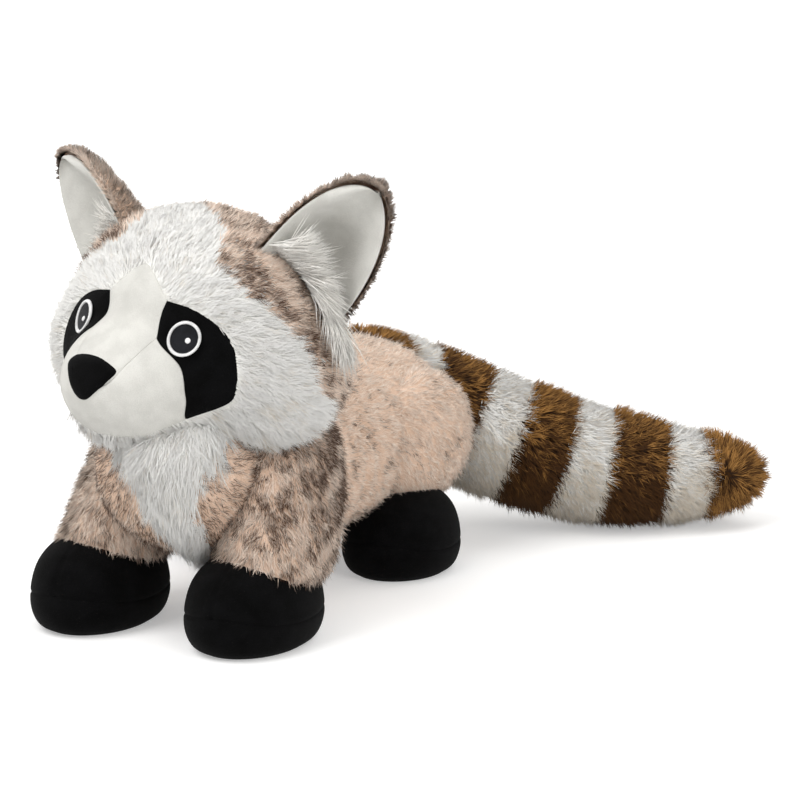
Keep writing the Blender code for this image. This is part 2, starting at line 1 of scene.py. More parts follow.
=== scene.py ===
# %% [markdown]
# A stuffed toy raccoon, standing on four paws.
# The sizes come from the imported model, which is loaded first and stays as it is. Every soft piece
# that shows is made again here as a smooth surface worked out with numpy, and the pile of the
# fabric is laid on it strand by strand.

# %% Load the fixed frame
import math

import bpy
import numpy as np
from mathutils import Matrix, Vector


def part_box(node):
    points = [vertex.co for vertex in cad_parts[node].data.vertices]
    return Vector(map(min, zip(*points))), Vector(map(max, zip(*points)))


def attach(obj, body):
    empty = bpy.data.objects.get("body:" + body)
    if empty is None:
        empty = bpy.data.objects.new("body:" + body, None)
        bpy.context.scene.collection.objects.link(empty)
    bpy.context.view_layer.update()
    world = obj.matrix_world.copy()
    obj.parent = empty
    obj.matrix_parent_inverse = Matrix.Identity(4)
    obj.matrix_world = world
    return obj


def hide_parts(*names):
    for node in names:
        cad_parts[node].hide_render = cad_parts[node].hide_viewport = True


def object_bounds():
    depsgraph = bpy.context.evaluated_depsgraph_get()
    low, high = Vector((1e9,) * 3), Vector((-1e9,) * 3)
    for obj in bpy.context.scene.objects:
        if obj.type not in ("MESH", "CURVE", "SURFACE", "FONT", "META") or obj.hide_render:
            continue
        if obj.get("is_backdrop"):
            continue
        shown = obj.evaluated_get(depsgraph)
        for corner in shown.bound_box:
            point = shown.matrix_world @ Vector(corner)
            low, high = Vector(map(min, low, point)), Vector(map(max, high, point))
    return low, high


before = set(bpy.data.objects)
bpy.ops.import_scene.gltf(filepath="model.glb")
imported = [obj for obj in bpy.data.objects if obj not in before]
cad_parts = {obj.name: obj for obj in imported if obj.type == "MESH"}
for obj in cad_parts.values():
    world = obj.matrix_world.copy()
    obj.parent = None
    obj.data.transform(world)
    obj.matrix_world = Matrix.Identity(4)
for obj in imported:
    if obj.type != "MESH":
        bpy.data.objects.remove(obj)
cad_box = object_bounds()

print("nodes:", len(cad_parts))

# %% [markdown]
# The toy was measured in a frame that has its origin on the floor between the front paws. The
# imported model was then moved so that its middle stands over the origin. The middle of one sole,
# read from the model, gives that move, and every mesh below gets it as its last step.

# %% Find where the toy stands
LEFT, RIGHT = 1, -1
SIDES = ((LEFT, "left"), (RIGHT, "right"))
FRONT_PAW_PLACES = {LEFT: (0.042, 0.003), RIGHT: (0.0405, 0.003)}

sole_low, sole_high = (np.array(corner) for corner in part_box("front_sole_left"))
SHIFT = 0.5 * (sole_low + sole_high) - (*FRONT_PAW_PLACES[LEFT], 0.0)
SHIFT[2] = 0.0
print("move of the toy, mm:", (1000 * SHIFT).round(2))

# %% [markdown]
# A few small tools for arrays of points come first: unit vectors, the angles of a full turn, and a
# smooth curve through given points. The curve is used for outlines, for the sections of the body
# and for the tail.

# %% Helpers for arrays of points
def unit(vectors):
    """Each vector divided by its own length."""
    return vectors / np.maximum(np.linalg.norm(vectors, axis=-1, keepdims=True), 1e-12)


def full_turn(count):
    """Even steps once round, from 0 up to but not including 2 pi."""
    return np.linspace(0, 2 * math.pi, count, endpoint=False)


def curve(points, spots, closed=False):
    """Points of a Catmull-Rom curve, at spots counted in spans from the first point.

    Between b and c, with a before and d after, and f from 0 to 1, it is half of
    2b + (c - a) f + (2a - 5b + 4c - d) f^2 + (3b - a - 3c + d) f^3.
    """
    points = np.asarray(points, float)
    count = len(points)
    span = np.floor(spots).astype(int)
    if closed:
        a, b, c, d = (points[(span + k) % count] for k in (-1, 0, 1, 2))
    else:
        span = np.clip(span, 0, count - 2)
        ends = np.vstack([2 * points[0] - points[1], points, 2 * points[-1] - points[-2]])
        a, b, c, d = (ends[span + k] for k in (0, 1, 2, 3))
    f = (spots - span)[:, None]
    return 0.5 * (2 * b + (c - a) * f + (2 * a - 5 * b + 4 * c - d) * f ** 2
                  + (3 * b - a - 3 * c + d) * f ** 3)


def mirrored(points, side):
    """The points, or their mirror image in the toy's middle plane for its right side."""
    return np.asarray(points, float) * np.array((side, 1, 1)[:np.shape(points)[-1]])


# %% [markdown]
# A closed form is a stack of rings. Its two end rings are closed with a fan onto a pole point.
# Three edges are enough for each face, and the sign of the enclosed volume tells whether the
# faces look outwards. A flat pad is closed by a zip instead, which joins its two long sides.

# %% Turn rings into a mesh
def ring_faces(rows, columns):
    """Triangles of a tube of closed rings, with a fan at each end onto the last two points."""
    row, column = np.meshgrid(np.arange(rows - 1), np.arange(columns), indexing="ij")
    a = (row * columns + column).ravel()
    b = (row * columns + (column + 1) % columns).ravel()
    c, d = b + columns, a + columns
    ring = np.arange(columns)
    after = (ring + 1) % columns
    first, last = rows * columns, rows * columns + 1
    top = (rows - 1) * columns
    fans = np.vstack([np.stack([after, ring, np.full(columns, first)], 1),
                      np.stack([top + ring, top + after, np.full(columns, last)], 1)])
    return np.vstack([np.stack([a, b, c], 1), np.stack([a, c, d], 1), fans])


def zip_faces(columns, first):
    """Triangles that close a flat ring, its point first + i joined to its point first - i."""
    i = np.arange(columns // 2)
    a, b = (first + i) % columns, (first - i) % columns
    c, d = (first + i + 1) % columns, (first - i - 1) % columns
    return np.vstack([np.stack([a, c, d], 1)[:-1], np.stack([a, d, b], 1)[1:]])


def volume(points, faces):
    """A sixth of the sum of a . (b x c) over the triangles: positive when they look outwards."""
    a, b, c = (points[faces[:, k]] for k in range(3))
    return np.einsum("ij,ij->i", a, np.cross(b, c)).sum() / 6.0


def fill_mesh(name, points, faces):
    """A new object at the origin whose mesh is made of whole arrays at once."""
    mesh = bpy.data.meshes.new(name)
    count, corners = faces.shape
    mesh.vertices.add(len(points))
    mesh.vertices.foreach_set("co", (points + SHIFT).astype(np.float32).ravel())
    mesh.loops.add(count * corners)
    mesh.loops.foreach_set("vertex_index", faces.astype(np.int32).ravel())
    mesh.polygons.add(count)
    mesh.polygons.foreach_set("loop_start", np.arange(count, dtype=np.int32) * corners)
    mesh.polygons.foreach_set("use_smooth", np.ones(count, bool))
    mesh.update(calc_edges=True)
    thing = bpy.data.objects.new(name, mesh)
    bpy.context.scene.collection.objects.link(thing)
    return thing


def paint(thing, name, values):
    """Store one value of four numbers for each point, which a material can read by name."""
    layer = thing.data.attributes.new(name, "FLOAT_COLOR", "POINT")
    layer.data.foreach_set("color", values.astype(np.float32).ravel())


def dress(thing, material, nodes=()):
    """Give a piece its material, hang it under the root body, and hide the imported parts that it
    stands for.
    """
    thing.data.materials.append(material)
    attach(thing, "root")
    if nodes:
        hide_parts(*nodes)
    return thing


def closed_piece(name, points, faces, material, nodes=()):
    """A closed piece. Its faces are turned round if its volume says that they look inwards."""
    if volume(points, faces) < 0:
        faces = faces[:, ::-1]
    return dress(fill_mesh(name, points, faces), material, nodes)


def solid(name, rings, material, nodes=()):
    """A closed piece from an array of rings, shaped (rows, columns, 3)."""
    points = np.vstack([rings.reshape(-1, 3), rings[0].mean(0), rings[-1].mean(0)])
    return closed_piece(name, points, ring_faces(*rings.shape[:2]), material, nodes)


# %% [markdown]
# Fabric colours are written as they look on a screen and turned into the light values that
# Blender works with.
#
# The pile needs three looks: a colour at the root, one along the strand, and one at the tip. Each
# strand carries three numbers: how far along it a point lies, a chance number of its own, and how
# dark its tip is. One group of nodes turns them into a colour, and every pile uses that group.

# %% Make the group that colours a strand
def screen(red, green, blue):
    """Light values of a screen colour: c / 12.92 when dark, else ((c + 0.055) / 1.055)^2.4."""
    c = np.array((red, green, blue)) / 255.0
    light = np.where(c <= 0.04045, c / 12.92, ((c + 0.055) / 1.055) ** 2.4)
    return (*light, 1.0)


def new_group(name, inputs, outputs):
    """A shader node group with named sockets, given as (name, type) pairs."""
    tree = bpy.data.node_groups.new(name, "ShaderNodeTree")
    for label, kind in inputs:
        tree.interface.new_socket(label, in_out="INPUT", socket_type="NodeSocket" + kind)
    for label, kind in outputs:
        tree.interface.new_socket(label, in_out="OUTPUT", socket_type="NodeSocket" + kind)
    return tree, tree.nodes.new("NodeGroupInput"), tree.nodes.new("NodeGroupOutput")


def add_node(tree, kind, links=(), **settings):
    """A node with its settings, linked from (output socket, name of its own input) pairs."""
    node = tree.nodes.new("ShaderNode" + kind)
    for key, value in settings.items():
        setattr(node, key, value)
    for source, target in links:
        tree.links.new(source, node.inputs[target])
    return node


def mix_colour(tree, share, first, second):
    """A Mix node for colours. Either colour can be a socket or four plain numbers."""
    node = add_node(tree, "Mix", data_type="RGBA")
    for source, index in ((share, 0), (first, 6), (second, 7)):
        if isinstance(source, (tuple, float)):
            node.inputs[index].default_value = source
        else:
            tree.links.new(source, node.inputs[index])
    return node.outputs[2]


def spread(tree, value, low, high, to_low=0.0, to_high=1.0):
    """A Map Range node: value from low to high becomes to_low to to_high, smoothly."""
    node = add_node(tree, "MapRange", [(value, "Value")], interpolation_type="SMOOTHSTEP")
    for label, number in (("From Min", low), ("From Max", high),
                          ("To Min", to_low), ("To Max", to_high)):
        node.inputs[label].default_value = number
    return node.outputs["Result"]


strand_colour, group_in, group_out = new_group(
    "strand_colour", [("Root", "Color"), ("Pile", "Color"), ("Light", "Color"), ("Tip", "Color")],
    [("Color", "Color")])
strand = add_node(strand_colour, "Attribute", attribute_name="strand")
parts = add_node(strand_colour, "SeparateColor", [(strand.outputs["Color"], "Color")])
along, chance, dark = (parts.outputs[label] for label in ("Red", "Green", "Blue"))
own = mix_colour(strand_colour, chance, group_in.outputs["Pile"], group_in.outputs["Light"])
grown = mix_colour(strand_colour, spread(strand_colour, along, 0.0, 0.5),
                   group_in.outputs["Root"], own)
tipped = add_node(strand_colour, "Math", [(spread(strand_colour, along, 0.15, 0.6), 0), (dark, 1)],
                  operation="MULTIPLY")
final = mix_colour(strand_colour, tipped.outputs[0], grown, group_in.outputs["Tip"])
strand_colour.links.new(final, group_out.inputs["Color"])
print("group strand_colour:", len(strand_colour.nodes), "nodes")


# %% [markdown]
# Each pile only sets the four colours of that group. The tan pile has dark tips, and the brown pile
# of the tail has golden ones.

# %% Make the pile materials
def new_material(name):
    """A material, with its tree of nodes and its Principled shader."""
    material = bpy.data.materials.new(name)
    material.use_nodes = True
    return material, material.node_tree, material.node_tree.nodes["Principled BSDF"]


def pile_material(name, root, pile, light, tip):
    """Pile with the colours of its roots, of its dull and light strands, and of its tips."""
    material, tree, shader = new_material(name)
    group = add_node(tree, "Group", node_tree=strand_colour)
    for label, colour in (("Root", root), ("Pile", pile), ("Light", light), ("Tip", tip)):
        group.inputs[label].default_value = screen(*colour)
    tree.links.new(group.outputs["Color"], shader.inputs["Base Color"])
    shader.inputs["Roughness"].default_value = 0.8
    shader.inputs["Specular IOR Level"].default_value = 0.25
    return material


# The root colours are a little darker than the strands, partly the fabric's own colour and partly
# painted shade deep in the pile. The white pile's warm tip colour is partly the fabric's cream and
# partly painted shade for the lower side of the white tail bands.
tan_pile, white_pile, brown_pile = (pile_material(*row) for row in (
    ("tan_pile", (226, 197, 175), (241, 214, 194), (252, 237, 223), (78, 53, 38)),
    ("white_pile", (243, 242, 237), (247, 246, 243), (250, 250, 248), (226, 215, 198)),
    ("brown_pile", (34, 18, 5), (62, 37, 13), (88, 56, 22), (184, 134, 72))))

# %% [markdown]
# Under the pile lies the knitted ground of the fabric. It shows only between strands, so it has the
# colour of their roots, broken up by a fine noise that also roughens it. Under the tan and brown
# pile that colour is a little darker than the strands, partly the fabric's own colour and partly
# painted shade deep in the pile.

# %% Make the ground and velour materials
cloth_grain, group_in, group_out = new_group(
    "cloth_grain", [("Fine", "Float"), ("Broad", "Float")],
    [("Grain", "Float"), ("Patch", "Float")])
spot = add_node(cloth_grain, "TexCoord").outputs["Object"]
for label, output, detail in (("Fine", "Grain", 3.0), ("Broad", "Patch", 2.0)):
    noise = add_node(cloth_grain, "TexNoise", [(spot, "Vector")])
    noise.inputs["Detail"].default_value = detail
    cloth_grain.links.new(group_in.outputs[label], noise.inputs["Scale"])
    cloth_grain.links.new(noise.outputs["Fac"], group_out.inputs[output])


GROUND_CLOTH = (1500.0, 0.0006, 0.9)      # scale of the grain, depth of the bump, roughness
VELOUR_CLOTH = (2600.0, 0.00025, 0.85)


def cloth_material(name, low, high, fine, depth, roughness, sheen=0.0, gloss=0.12):
    """Cloth whose colour runs from low to high with its grain, raised by depth metres."""
    material, tree, shader = new_material(name)
    group = add_node(tree, "Group", node_tree=cloth_grain)
    group.inputs["Fine"].default_value = fine
    group.inputs["Broad"].default_value = fine / 24.0
    both = add_node(tree, "Math", [(group.outputs["Grain"], 0), (group.outputs["Patch"], 1)],
                    operation="ADD")
    share = spread(tree, both.outputs[0], 0.75, 1.25)
    colour = mix_colour(tree, share, screen(*low), screen(*high))
    tree.links.new(colour, shader.inputs["Base Color"])
    bump = add_node(tree, "Bump", [(group.outputs["Grain"], "Height")])
    bump.inputs["Distance"].default_value = depth
    tree.links.new(bump.outputs["Normal"], shader.inputs["Normal"])
    shader.inputs["Roughness"].default_value = roughness
    shader.inputs["Specular IOR Level"].default_value = gloss
    shader.inputs["Sheen Weight"].default_value = sheen
    shader.inputs["Sheen Roughness"].default_value = 0.45
    return material


(tan_ground, white_ground, brown_ground, white_velour, black_velour, white_thread,
 black_thread) = (cloth_material(*row) for row in (
     ("tan_ground", (214, 182, 158), (234, 204, 182), *GROUND_CLOTH),
     ("white_ground", (244, 244, 241), (252, 252, 250), *GROUND_CLOTH),
     ("brown_ground", (36, 20, 6), (64, 40, 15), *GROUND_CLOTH),
     ("white_velour", (202, 201, 196), (216, 215, 210), *VELOUR_CLOTH, 0.1),
     ("black_velour", (2, 2, 2), (9, 9, 10), *VELOUR_CLOTH, 0.02, 0.05),
     ("white_thread", (225, 225, 225), (250, 250, 250), 4200.0, 0.0003, 0.55),
     ("black_thread", (10, 11, 14), (26, 27, 32), 4200.0, 0.0003, 0.5)))
print("materials:", len(bpy.data.materials))

# %% [markdown]
# The head is one soft form. Four balls are blended: the skull, two cheeks and the snout. Seen
# from the middle of the head, the form's distance in each direction is a soft maximum of how far
# each ball reaches.

# %% Work out the form of the head
HEAD_PLACE = np.array((0.0, 0.022, 0.140))
HEAD_TURN, HEAD_TIP = math.radians(-8), math.radians(3)
HEAD_BALLS = (((0.0, 0.005, 0.006), (0.061, 0.048, 0.047)),
              ((0.027, 0.007, -0.016), (0.047, 0.043, 0.039)),
              ((-0.027, 0.007, -0.016), (0.047, 0.043, 0.039)),
              ((0.0, -0.026, -0.020), (0.038, 0.046, 0.031)))
HEAD_BLEND = 10
HEAD_OUTSIDE, HALVINGS = 0.12, 26      # a distance that is off the head, for the search below


def head_axes():
    """The turn about Z times the tip about Y, as one matrix."""
    c, s = math.cos(HEAD_TURN), math.sin(HEAD_TURN)
    turn = np.array(((c, -s, 0), (s, c, 0), (0, 0, 1)))
    c, s = math.cos(HEAD_TIP), math.sin(HEAD_TIP)
    return turn @ np.array(((c, 0, s), (0, 1, 0), (-s, 0, c)))


HEAD_AXES = head_axes()


def to_toy(points):
    """Points of the head's own frame, brought into the toy's."""
    return points @ HEAD_AXES.T + HEAD_PLACE


def head_radius(ways):
    """Soft maximum, most * (sum of (reach / most)^10)^(1/10), over the four balls.

    With the direction d and the ball's place c both divided by its half sizes, the reach is
    (d.c + sqrt((d.c)^2 - d.d (c.c - 1))) / d.d.
    """
    reach = []
    for place, size in HEAD_BALLS:
        d, c = ways / np.array(size), np.array(place) / np.array(size)
        dd, dc = (d * d).sum(-1), d @ c
        reach.append((dc + np.sqrt(dc * dc - dd * (c @ c - 1.0))) / dd)
    reach = np.array(reach)
    most = reach.max(0)
    return most * ((reach / most) ** HEAD_BLEND).sum(0) ** (1.0 / HEAD_BLEND)


def head_rings(grow, rows=64, columns=112):
    """Rings of the head from its top to its foot, moved out by grow."""
    fall = np.linspace(0.004, math.pi - 0.004, rows)[:, None]
    turn = full_turn(columns)[None, :]
    ways = np.stack([np.sin(fall) * np.cos(turn), np.sin(fall) * np.sin(turn),
                     np.cos(fall) * np.ones_like(turn)], -1)
    return ways * (head_radius(ways) + grow)[..., None]


head_skin = head_rings(0.0)
solid("head_ground", to_toy(head_rings(-0.0005)), white_ground,
      ("head_stuffing", "crown_fur", "face_fur"))
print("head, mm:", (1000 * (head_skin.max((0, 1)) - head_skin.min((0, 1)))).round(1))

# %% [markdown]
# The bare parts of the face are velour panels: the bridge with its blaze, the jaw, and a black
# patch round each eye. Each panel is cut to an outline, drawn as seen from the front, and laid on
# the head. It is thin, and its edges are tucked in where it is sewn.

# %% Lay panels on the head
PATCH_TOP, PATCH_INNER = (0.0165, 0.0192), (0.0180, 0.0040)
EYE_PATCH = (PATCH_TOP, (0.0287, 0.0166), (0.0405, 0.0098), (0.0476, 0.0005),
             (0.0505, -0.0120), (0.0480, -0.0225), (0.0330, -0.0310), (0.0346, -0.0203),
             (0.0308, -0.0070), PATCH_INNER, (0.0153, 0.0090), (0.0152, 0.0140))
BLAZE = ((0.0022, 0.0322), (0.0090, 0.0268), PATCH_TOP)
MOUTH_SEAM = (PATCH_INNER, (0.0150, -0.0045), (0.0080, -0.0150))
JAW = ((0.0220, -0.0400), (0.0100, -0.0440))
NOSE_PLACE = -0.0030
NOSE = ((0.0, -0.0038), (0.0080, -0.0050), (0.0146, -0.0088), (0.0112, -0.0145),
        (0.0045, -0.0222), (0.0, -0.0240))
FACE_DEPTH = -0.010            # rays that find the face start this far in front of the middle


def on_head(start, way, lift):
    """Where rays from inside the head leave it, lift further out: each range is halved in turn."""
    near, far = np.zeros(len(start)), np.full(len(start), HEAD_OUTSIDE)
    for _ in range(HALVINGS):
        middle = 0.5 * (near + far)
        points = start + way * middle[:, None]
        reach = np.linalg.norm(points, axis=1)
        outside = reach > head_radius(points / reach[:, None]) + lift
        near, far = np.where(outside, near, middle), np.where(outside, middle, far)
    return start + way * near[:, None]


def both_sides(half):
    """Close a half outline with its mirror image. A corner on the middle line is kept once."""
    return list(half) + [(-a, b) for a, b in reversed(half) if a > 0.0]


def even_outline(outline, corners, count):
    """A closed outline in even steps, smooth between its numbered corners."""
    outline = np.array(outline)
    ends = (*corners, corners[0] + len(outline)) if corners else ()
    runs = [outline[np.arange(start, end + 1) % len(outline)] for start, end in zip(ends, ends[1:])]
    if runs:
        dense = np.vstack([curve(run, np.linspace(0, len(run) - 1, 40 * len(run), endpoint=False))
                           for run in runs])
    else:
        spots = np.linspace(0, len(outline), 40 * len(outline), endpoint=False)
        dense = curve(outline, spots, closed=True)
    steps = np.linalg.norm(np.diff(dense, axis=0, append=dense[:1]), axis=1)
    length = np.concatenate([[0.0], np.cumsum(steps)])
    spots = np.linspace(0.0, length[-1], count, endpoint=False)
    loop = np.vstack([dense, dense[:1]])
    return np.stack([np.interp(spots, length, loop[:, k]) for k in range(2)], 1)


def pad_rings(outline, spine, crown, tuck, rows=10):
    """Rings of a flat pad, from its spine out to its rim and back under it.

    Two points of the rim, as far along it from the spine's end in either direction, shrink to
    one point of the spine, half way between their nearest ones. A share r of the way out, the
    pad's face stands crown * (1 - r^6) above tuck, and its back lies 1.5 mm under tuck.
    """
    start, end = np.array(spine)
    run = end - start
    reach = (outline - start) @ run / (run @ run)
    first = reach.argmax()
    reach = np.clip(reach, 0.0, 1.0)
    reach = 0.5 * (reach + reach[(2 * first - np.arange(len(reach))) % len(reach)])
    near = start + reach[:, None] * run
    share = np.sin(np.linspace(0.12, 0.5 * math.pi, rows))
    share = np.concatenate([share, share[::-1][1:]])
    front = np.arange(len(share)) < rows
    lift = np.where(front, tuck + crown * (1.0 - share ** 6), tuck - 0.0015)
    return near + share[:, None, None] * (outline - near), lift, first


def face_panel(name, outline, corners, spine, crown, tuck, material, node, count=160):
    """A pad laid on the head: each point goes straight forwards to its lift above the face."""
    flat, lift, end = pad_rings(even_outline(outline, corners, count), spine, crown, tuck)
    rows, columns = flat.shape[:2]
    start = np.stack([flat[..., 0], np.full((rows, columns), FACE_DEPTH), flat[..., 1]], -1)
    lifts = np.repeat(lift, columns)
    points = on_head(start.reshape(-1, 3), np.array((0.0, -1.0, 0.0)), lifts)
    faces = np.vstack([ring_faces(rows, columns)[:-2 * columns], zip_faces(columns, end)[:, ::-1],
                       (rows - 1) * columns + zip_faces(columns, end)])
    return closed_piece(name, to_toy(points), faces, material, (node,))


def both_corners(half, corners):
    """The numbers of a half outline's corners, and those of their mirror images."""
    last = 2 * len(half) - 1
    return (*corners, *(last - corner for corner in reversed(corners)))


bridge_half = BLAZE + EYE_PATCH[:9:-1] + MOUTH_SEAM
face_panel("bridge_velour", both_sides(bridge_half), both_corners(bridge_half, (2, 5)),
           ((0.0, 0.024), (0.0, -0.004)), 0.0012, 0.0, white_velour,
           "muzzle_bridge")
jaw_half = MOUTH_SEAM[::-1] + EYE_PATCH[8:5:-1] + JAW
face_panel("jaw_velour", both_sides(jaw_half), both_corners(jaw_half, (2, 5)),
           ((-0.024, -0.026), (0.024, -0.026)), 0.0014, -0.0002, white_velour,
           "muzzle_jaw", 220)
for side, name in SIDES:
    face_panel("patch_velour_" + name, mirrored(EYE_PATCH, side), (0, 6, 9),
               ((0.031 * side, 0.006), (0.042 * side, -0.019)), 0.0010, 0.0002, black_velour,
               "eye_patch_" + name)
nose = np.array(both_sides(NOSE)) + (NOSE_PLACE, 0.0)
face_panel("nose_velour", nose, (), ((NOSE_PLACE - 0.006, -0.010), (NOSE_PLACE + 0.006, -0.010)),
           0.0030, 0.0004, black_velour, "nose")
print("panels laid on the face: 5")

# %% [markdown]
# An eye is embroidered: a raised white ring, a black disc of satin stitch inside it, and a small
# white glint. They lie square to the eye's own line of sight, which looks a little outwards.

# %% Embroider the eyes
EYE_PLACES = {LEFT: (0.0238, 0.0045), RIGHT: (0.0262, 0.0050)}
EYE_TURN, EYE_DEPTH, EYE_FLAT = math.radians(23), -0.030, 0.8
RING_RADIUS, RING_WIDTH, RING_HEIGHT = 0.0074, 0.0013, 0.0012
RING_POINTS, SECTION_POINTS, STITCHES, FIT_POINTS = 256, 14, 64, 48
GLINT_PLACE, GLINT_RADIUS = (0.0018, -0.0006), 0.0014
PATCH_FACE = 0.0010            # the patch's own cloth stands this far off the head's form


def eye_depth(across, up, side):
    """Points of the eye's own plane, its line of sight, and how far along it the cloth lies."""
    look = np.array((math.sin(EYE_TURN) * side, -math.cos(EYE_TURN), 0.0))
    right = np.array((math.cos(EYE_TURN), math.sin(EYE_TURN) * side, 0.0))
    place = EYE_PLACES[side]
    start = np.array((place[0] * side, EYE_DEPTH, place[1]))
    flat = start + across.ravel()[:, None] * right + up.ravel()[:, None] * np.array((0, 0, 1.0))
    return flat, look, (on_head(flat, look, 0.0 * flat[:, 0]) - flat) @ look


def on_eye(across, up, side, lift):
    """The stitches pull the cloth flat: a share EYE_FLAT of the way to the plane that fits it."""
    turn = full_turn(FIT_POINTS)
    ring = RING_RADIUS * np.stack([np.cos(turn), np.sin(turn)])
    depth = eye_depth(ring[0], ring[1], side)[2]
    terms = np.stack([np.ones(FIT_POINTS), ring[0], ring[1]], 1)
    fit = np.linalg.lstsq(terms, depth, rcond=None)[0]
    over = EYE_FLAT * (depth - terms @ fit).max()
    flat, look, depth = eye_depth(across, up, side)
    plane = fit[0] + fit[1] * across.ravel() + fit[2] * up.ravel()
    depth = depth + EYE_FLAT * (plane - depth) + over
    return (flat + (depth + lift.ravel())[:, None] * look).reshape(*across.shape, 3)


def thread_ring(name, side, node):
    """A closed band round the eye: its section is a half ellipse, ribbed by its stitches."""
    turn = full_turn(RING_POINTS)[None, :]
    section = full_turn(SECTION_POINTS)[:, None]
    stitch = 1.0 + 0.16 * np.cos(STITCHES * turn)
    radius = RING_RADIUS - 0.5 * RING_WIDTH * (1.0 - np.cos(section) * stitch)
    lift = PATCH_FACE - 0.0003 + RING_HEIGHT * 0.75 * np.maximum(np.sin(section), -0.5) * stitch
    points = on_eye(radius * np.cos(turn), radius * np.sin(turn), side, lift)
    points = to_toy(points.reshape(-1, 3))
    faces = ring_faces(SECTION_POINTS + 1, RING_POINTS)[:-2 * RING_POINTS] % len(points)
    return closed_piece(name, points, faces, white_thread, (node,))


def thread_disc(name, side, place, radius, height, material, node, rows=12):
    """A low dome, height * (1 - r^4) above the patch at a share r of its radius."""
    share = np.sin(np.linspace(0.05, 0.5 * math.pi, rows))
    share = np.concatenate([share, share[::-1][1:]])[:, None]
    under = (np.arange(len(share)) >= rows)[:, None]
    turn = full_turn(64)[None, :]
    lift = np.where(under, -0.0030, height * (1.0 - share ** 4)) + PATCH_FACE - 0.0002
    across = place[0] + radius * share * np.cos(turn)
    up = place[1] + radius * share * np.sin(turn)
    rings = to_toy(on_eye(across, up, side, lift * np.ones_like(across)))
    return solid(name, rings, material, (node,))


inner = RING_RADIUS - RING_WIDTH
for side, name in SIDES:
    thread_ring("ring_thread_" + name, side, "eye_ring_" + name)
    thread_disc("disc_thread_" + name, side, (0, 0), inner, 0.0006, black_thread,
                "eye_disc_" + name)
    thread_disc("glint_thread_" + name, side, GLINT_PLACE, GLINT_RADIUS, RING_HEIGHT,
                white_thread, "eye_glint_" + name)
print("eyes embroidered: 2")

# %% [markdown]
# An ear is a cupped leaf of fabric, white velour in front and pile behind. The leaf is a function
# of two parameters: s runs from edge to edge, and t from the root, inside the head, to the tip.

# %% Shape the ears
EAR_TOP, EAR_FOOT, EAR_TIP = (0.043, -0.003, 0.0415), (0.068, 0.012, 0.006), (0.087, 0.013, 0.076)
EAR_HALF_WIDTH, EAR_HEIGHT, EAR_ROUND = 0.0262, 0.0597, 2.4
EAR_MIDDLE_AT_ROOT, EAR_MIDDLES_AT_TIP = 0.0225, {LEFT: 0.0088, RIGHT: 0.0210}
EAR_CUP, EAR_CUP_FADE, EAR_ROOT_DEPTH = 0.017, 0.75, 0.014
EAR_BACK_CLOTH, EAR_LINING_CLOTH, EAR_RIM = 0.0025, 0.0025, 0.0017
EAR_ROLL, EAR_HOLLOW, EAR_BULGE, EAR_EDGE = 0.0040, 0.0090, 0.0065, 0.0003


def ear_axes(side):
    """The root line's top, and the ways down it, up to the tip and out of the hollow."""
    top, foot, tip = (mirrored(point, side) for point in (EAR_TOP, EAR_FOOT, EAR_TIP))
    down = unit(foot - top)
    out = unit(np.cross(down, tip - top) * side)
    return top, down, np.cross(out, down) * side, out


def ear_leaf(side, s, t, inset, lift):
    """Points of the leaf: half width W sqrt(1 - t^2.4), hollow cup(t) (1 - s^2), raised by lift."""
    top, down, rise, out = ear_axes(side)
    above = np.maximum(t, 0.0)
    half = EAR_HALF_WIDTH * np.sqrt(np.maximum(1.0 - above ** EAR_ROUND, 0.0)) - inset
    half = np.maximum(half, 0.0004)
    middle = EAR_MIDDLE_AT_ROOT + (EAR_MIDDLES_AT_TIP[side] - EAR_MIDDLE_AT_ROOT) * above
    depth = EAR_CUP * (1.0 - EAR_CUP_FADE * above) * (1.0 - s ** 2) - lift
    return (top + (middle + half * s)[..., None] * down
            + (t * (EAR_HEIGHT - inset))[..., None] * rise - depth[..., None] * out)


def ear_rings(side, rim, front, back, rows=32, columns=27):
    """Closed rings over both faces of the leaf. front and back are lifts, functions of (s, t).

    The rings stop short of the leaf's edge by rim, and by 1.15 rim along its upper side.
    """
    t = np.concatenate([[-EAR_ROOT_DEPTH / EAR_HEIGHT],
                        np.sin(np.linspace(0.0, 0.5 * math.pi, rows))])[:, None]
    s = np.sin(np.linspace(-0.5 * math.pi, 0.5 * math.pi, columns))[None, :]
    s, t = np.broadcast_arrays(s, t)
    inset = rim * (1.0 + 0.15 * np.maximum(-s, 0.0))
    faces = [ear_leaf(side, s, t, inset, front(s, t)),
             ear_leaf(side, s, t, inset, back(s, t))[:, ::-1][:, 1:-1]]
    return np.concatenate(faces, 1)


def edge_fade(s, t):
    """One over most of the leaf, falling to nothing at its edge: sqrt(1 - max(s, t)^8)."""
    return np.sqrt(np.maximum(1.0 - np.maximum(np.abs(s), np.maximum(t, 0.0)) ** 8, 0.0))


def lining_lift(s, t):
    """The lining's face: its own cloth, a roll of 4 mm along its upper edge, a hollow of 9 mm.

    The roll is exp(-((s + 0.72) / 0.22)^2), and the hollow (1 - s^2) exp(-((t - 0.35) / 0.3)^2).
    """
    roll = EAR_ROLL * np.exp(-((s + 0.72) / 0.22) ** 2)
    hollow = EAR_HOLLOW * (1.0 - s ** 2) * np.exp(-((t - 0.35) / 0.3) ** 2)
    return 0.0004 + (EAR_LINING_CLOTH + roll - hollow) * edge_fade(s, t)


def back_lift(s, t, cloth=EAR_BACK_CLOTH):
    """The back's face: it bulges 6.5 mm * (1 - s^2) behind the leaf, and its cloth adds more."""
    return -0.0002 - (cloth + EAR_BULGE * (1.0 - s ** 2)) * edge_fade(s, t)


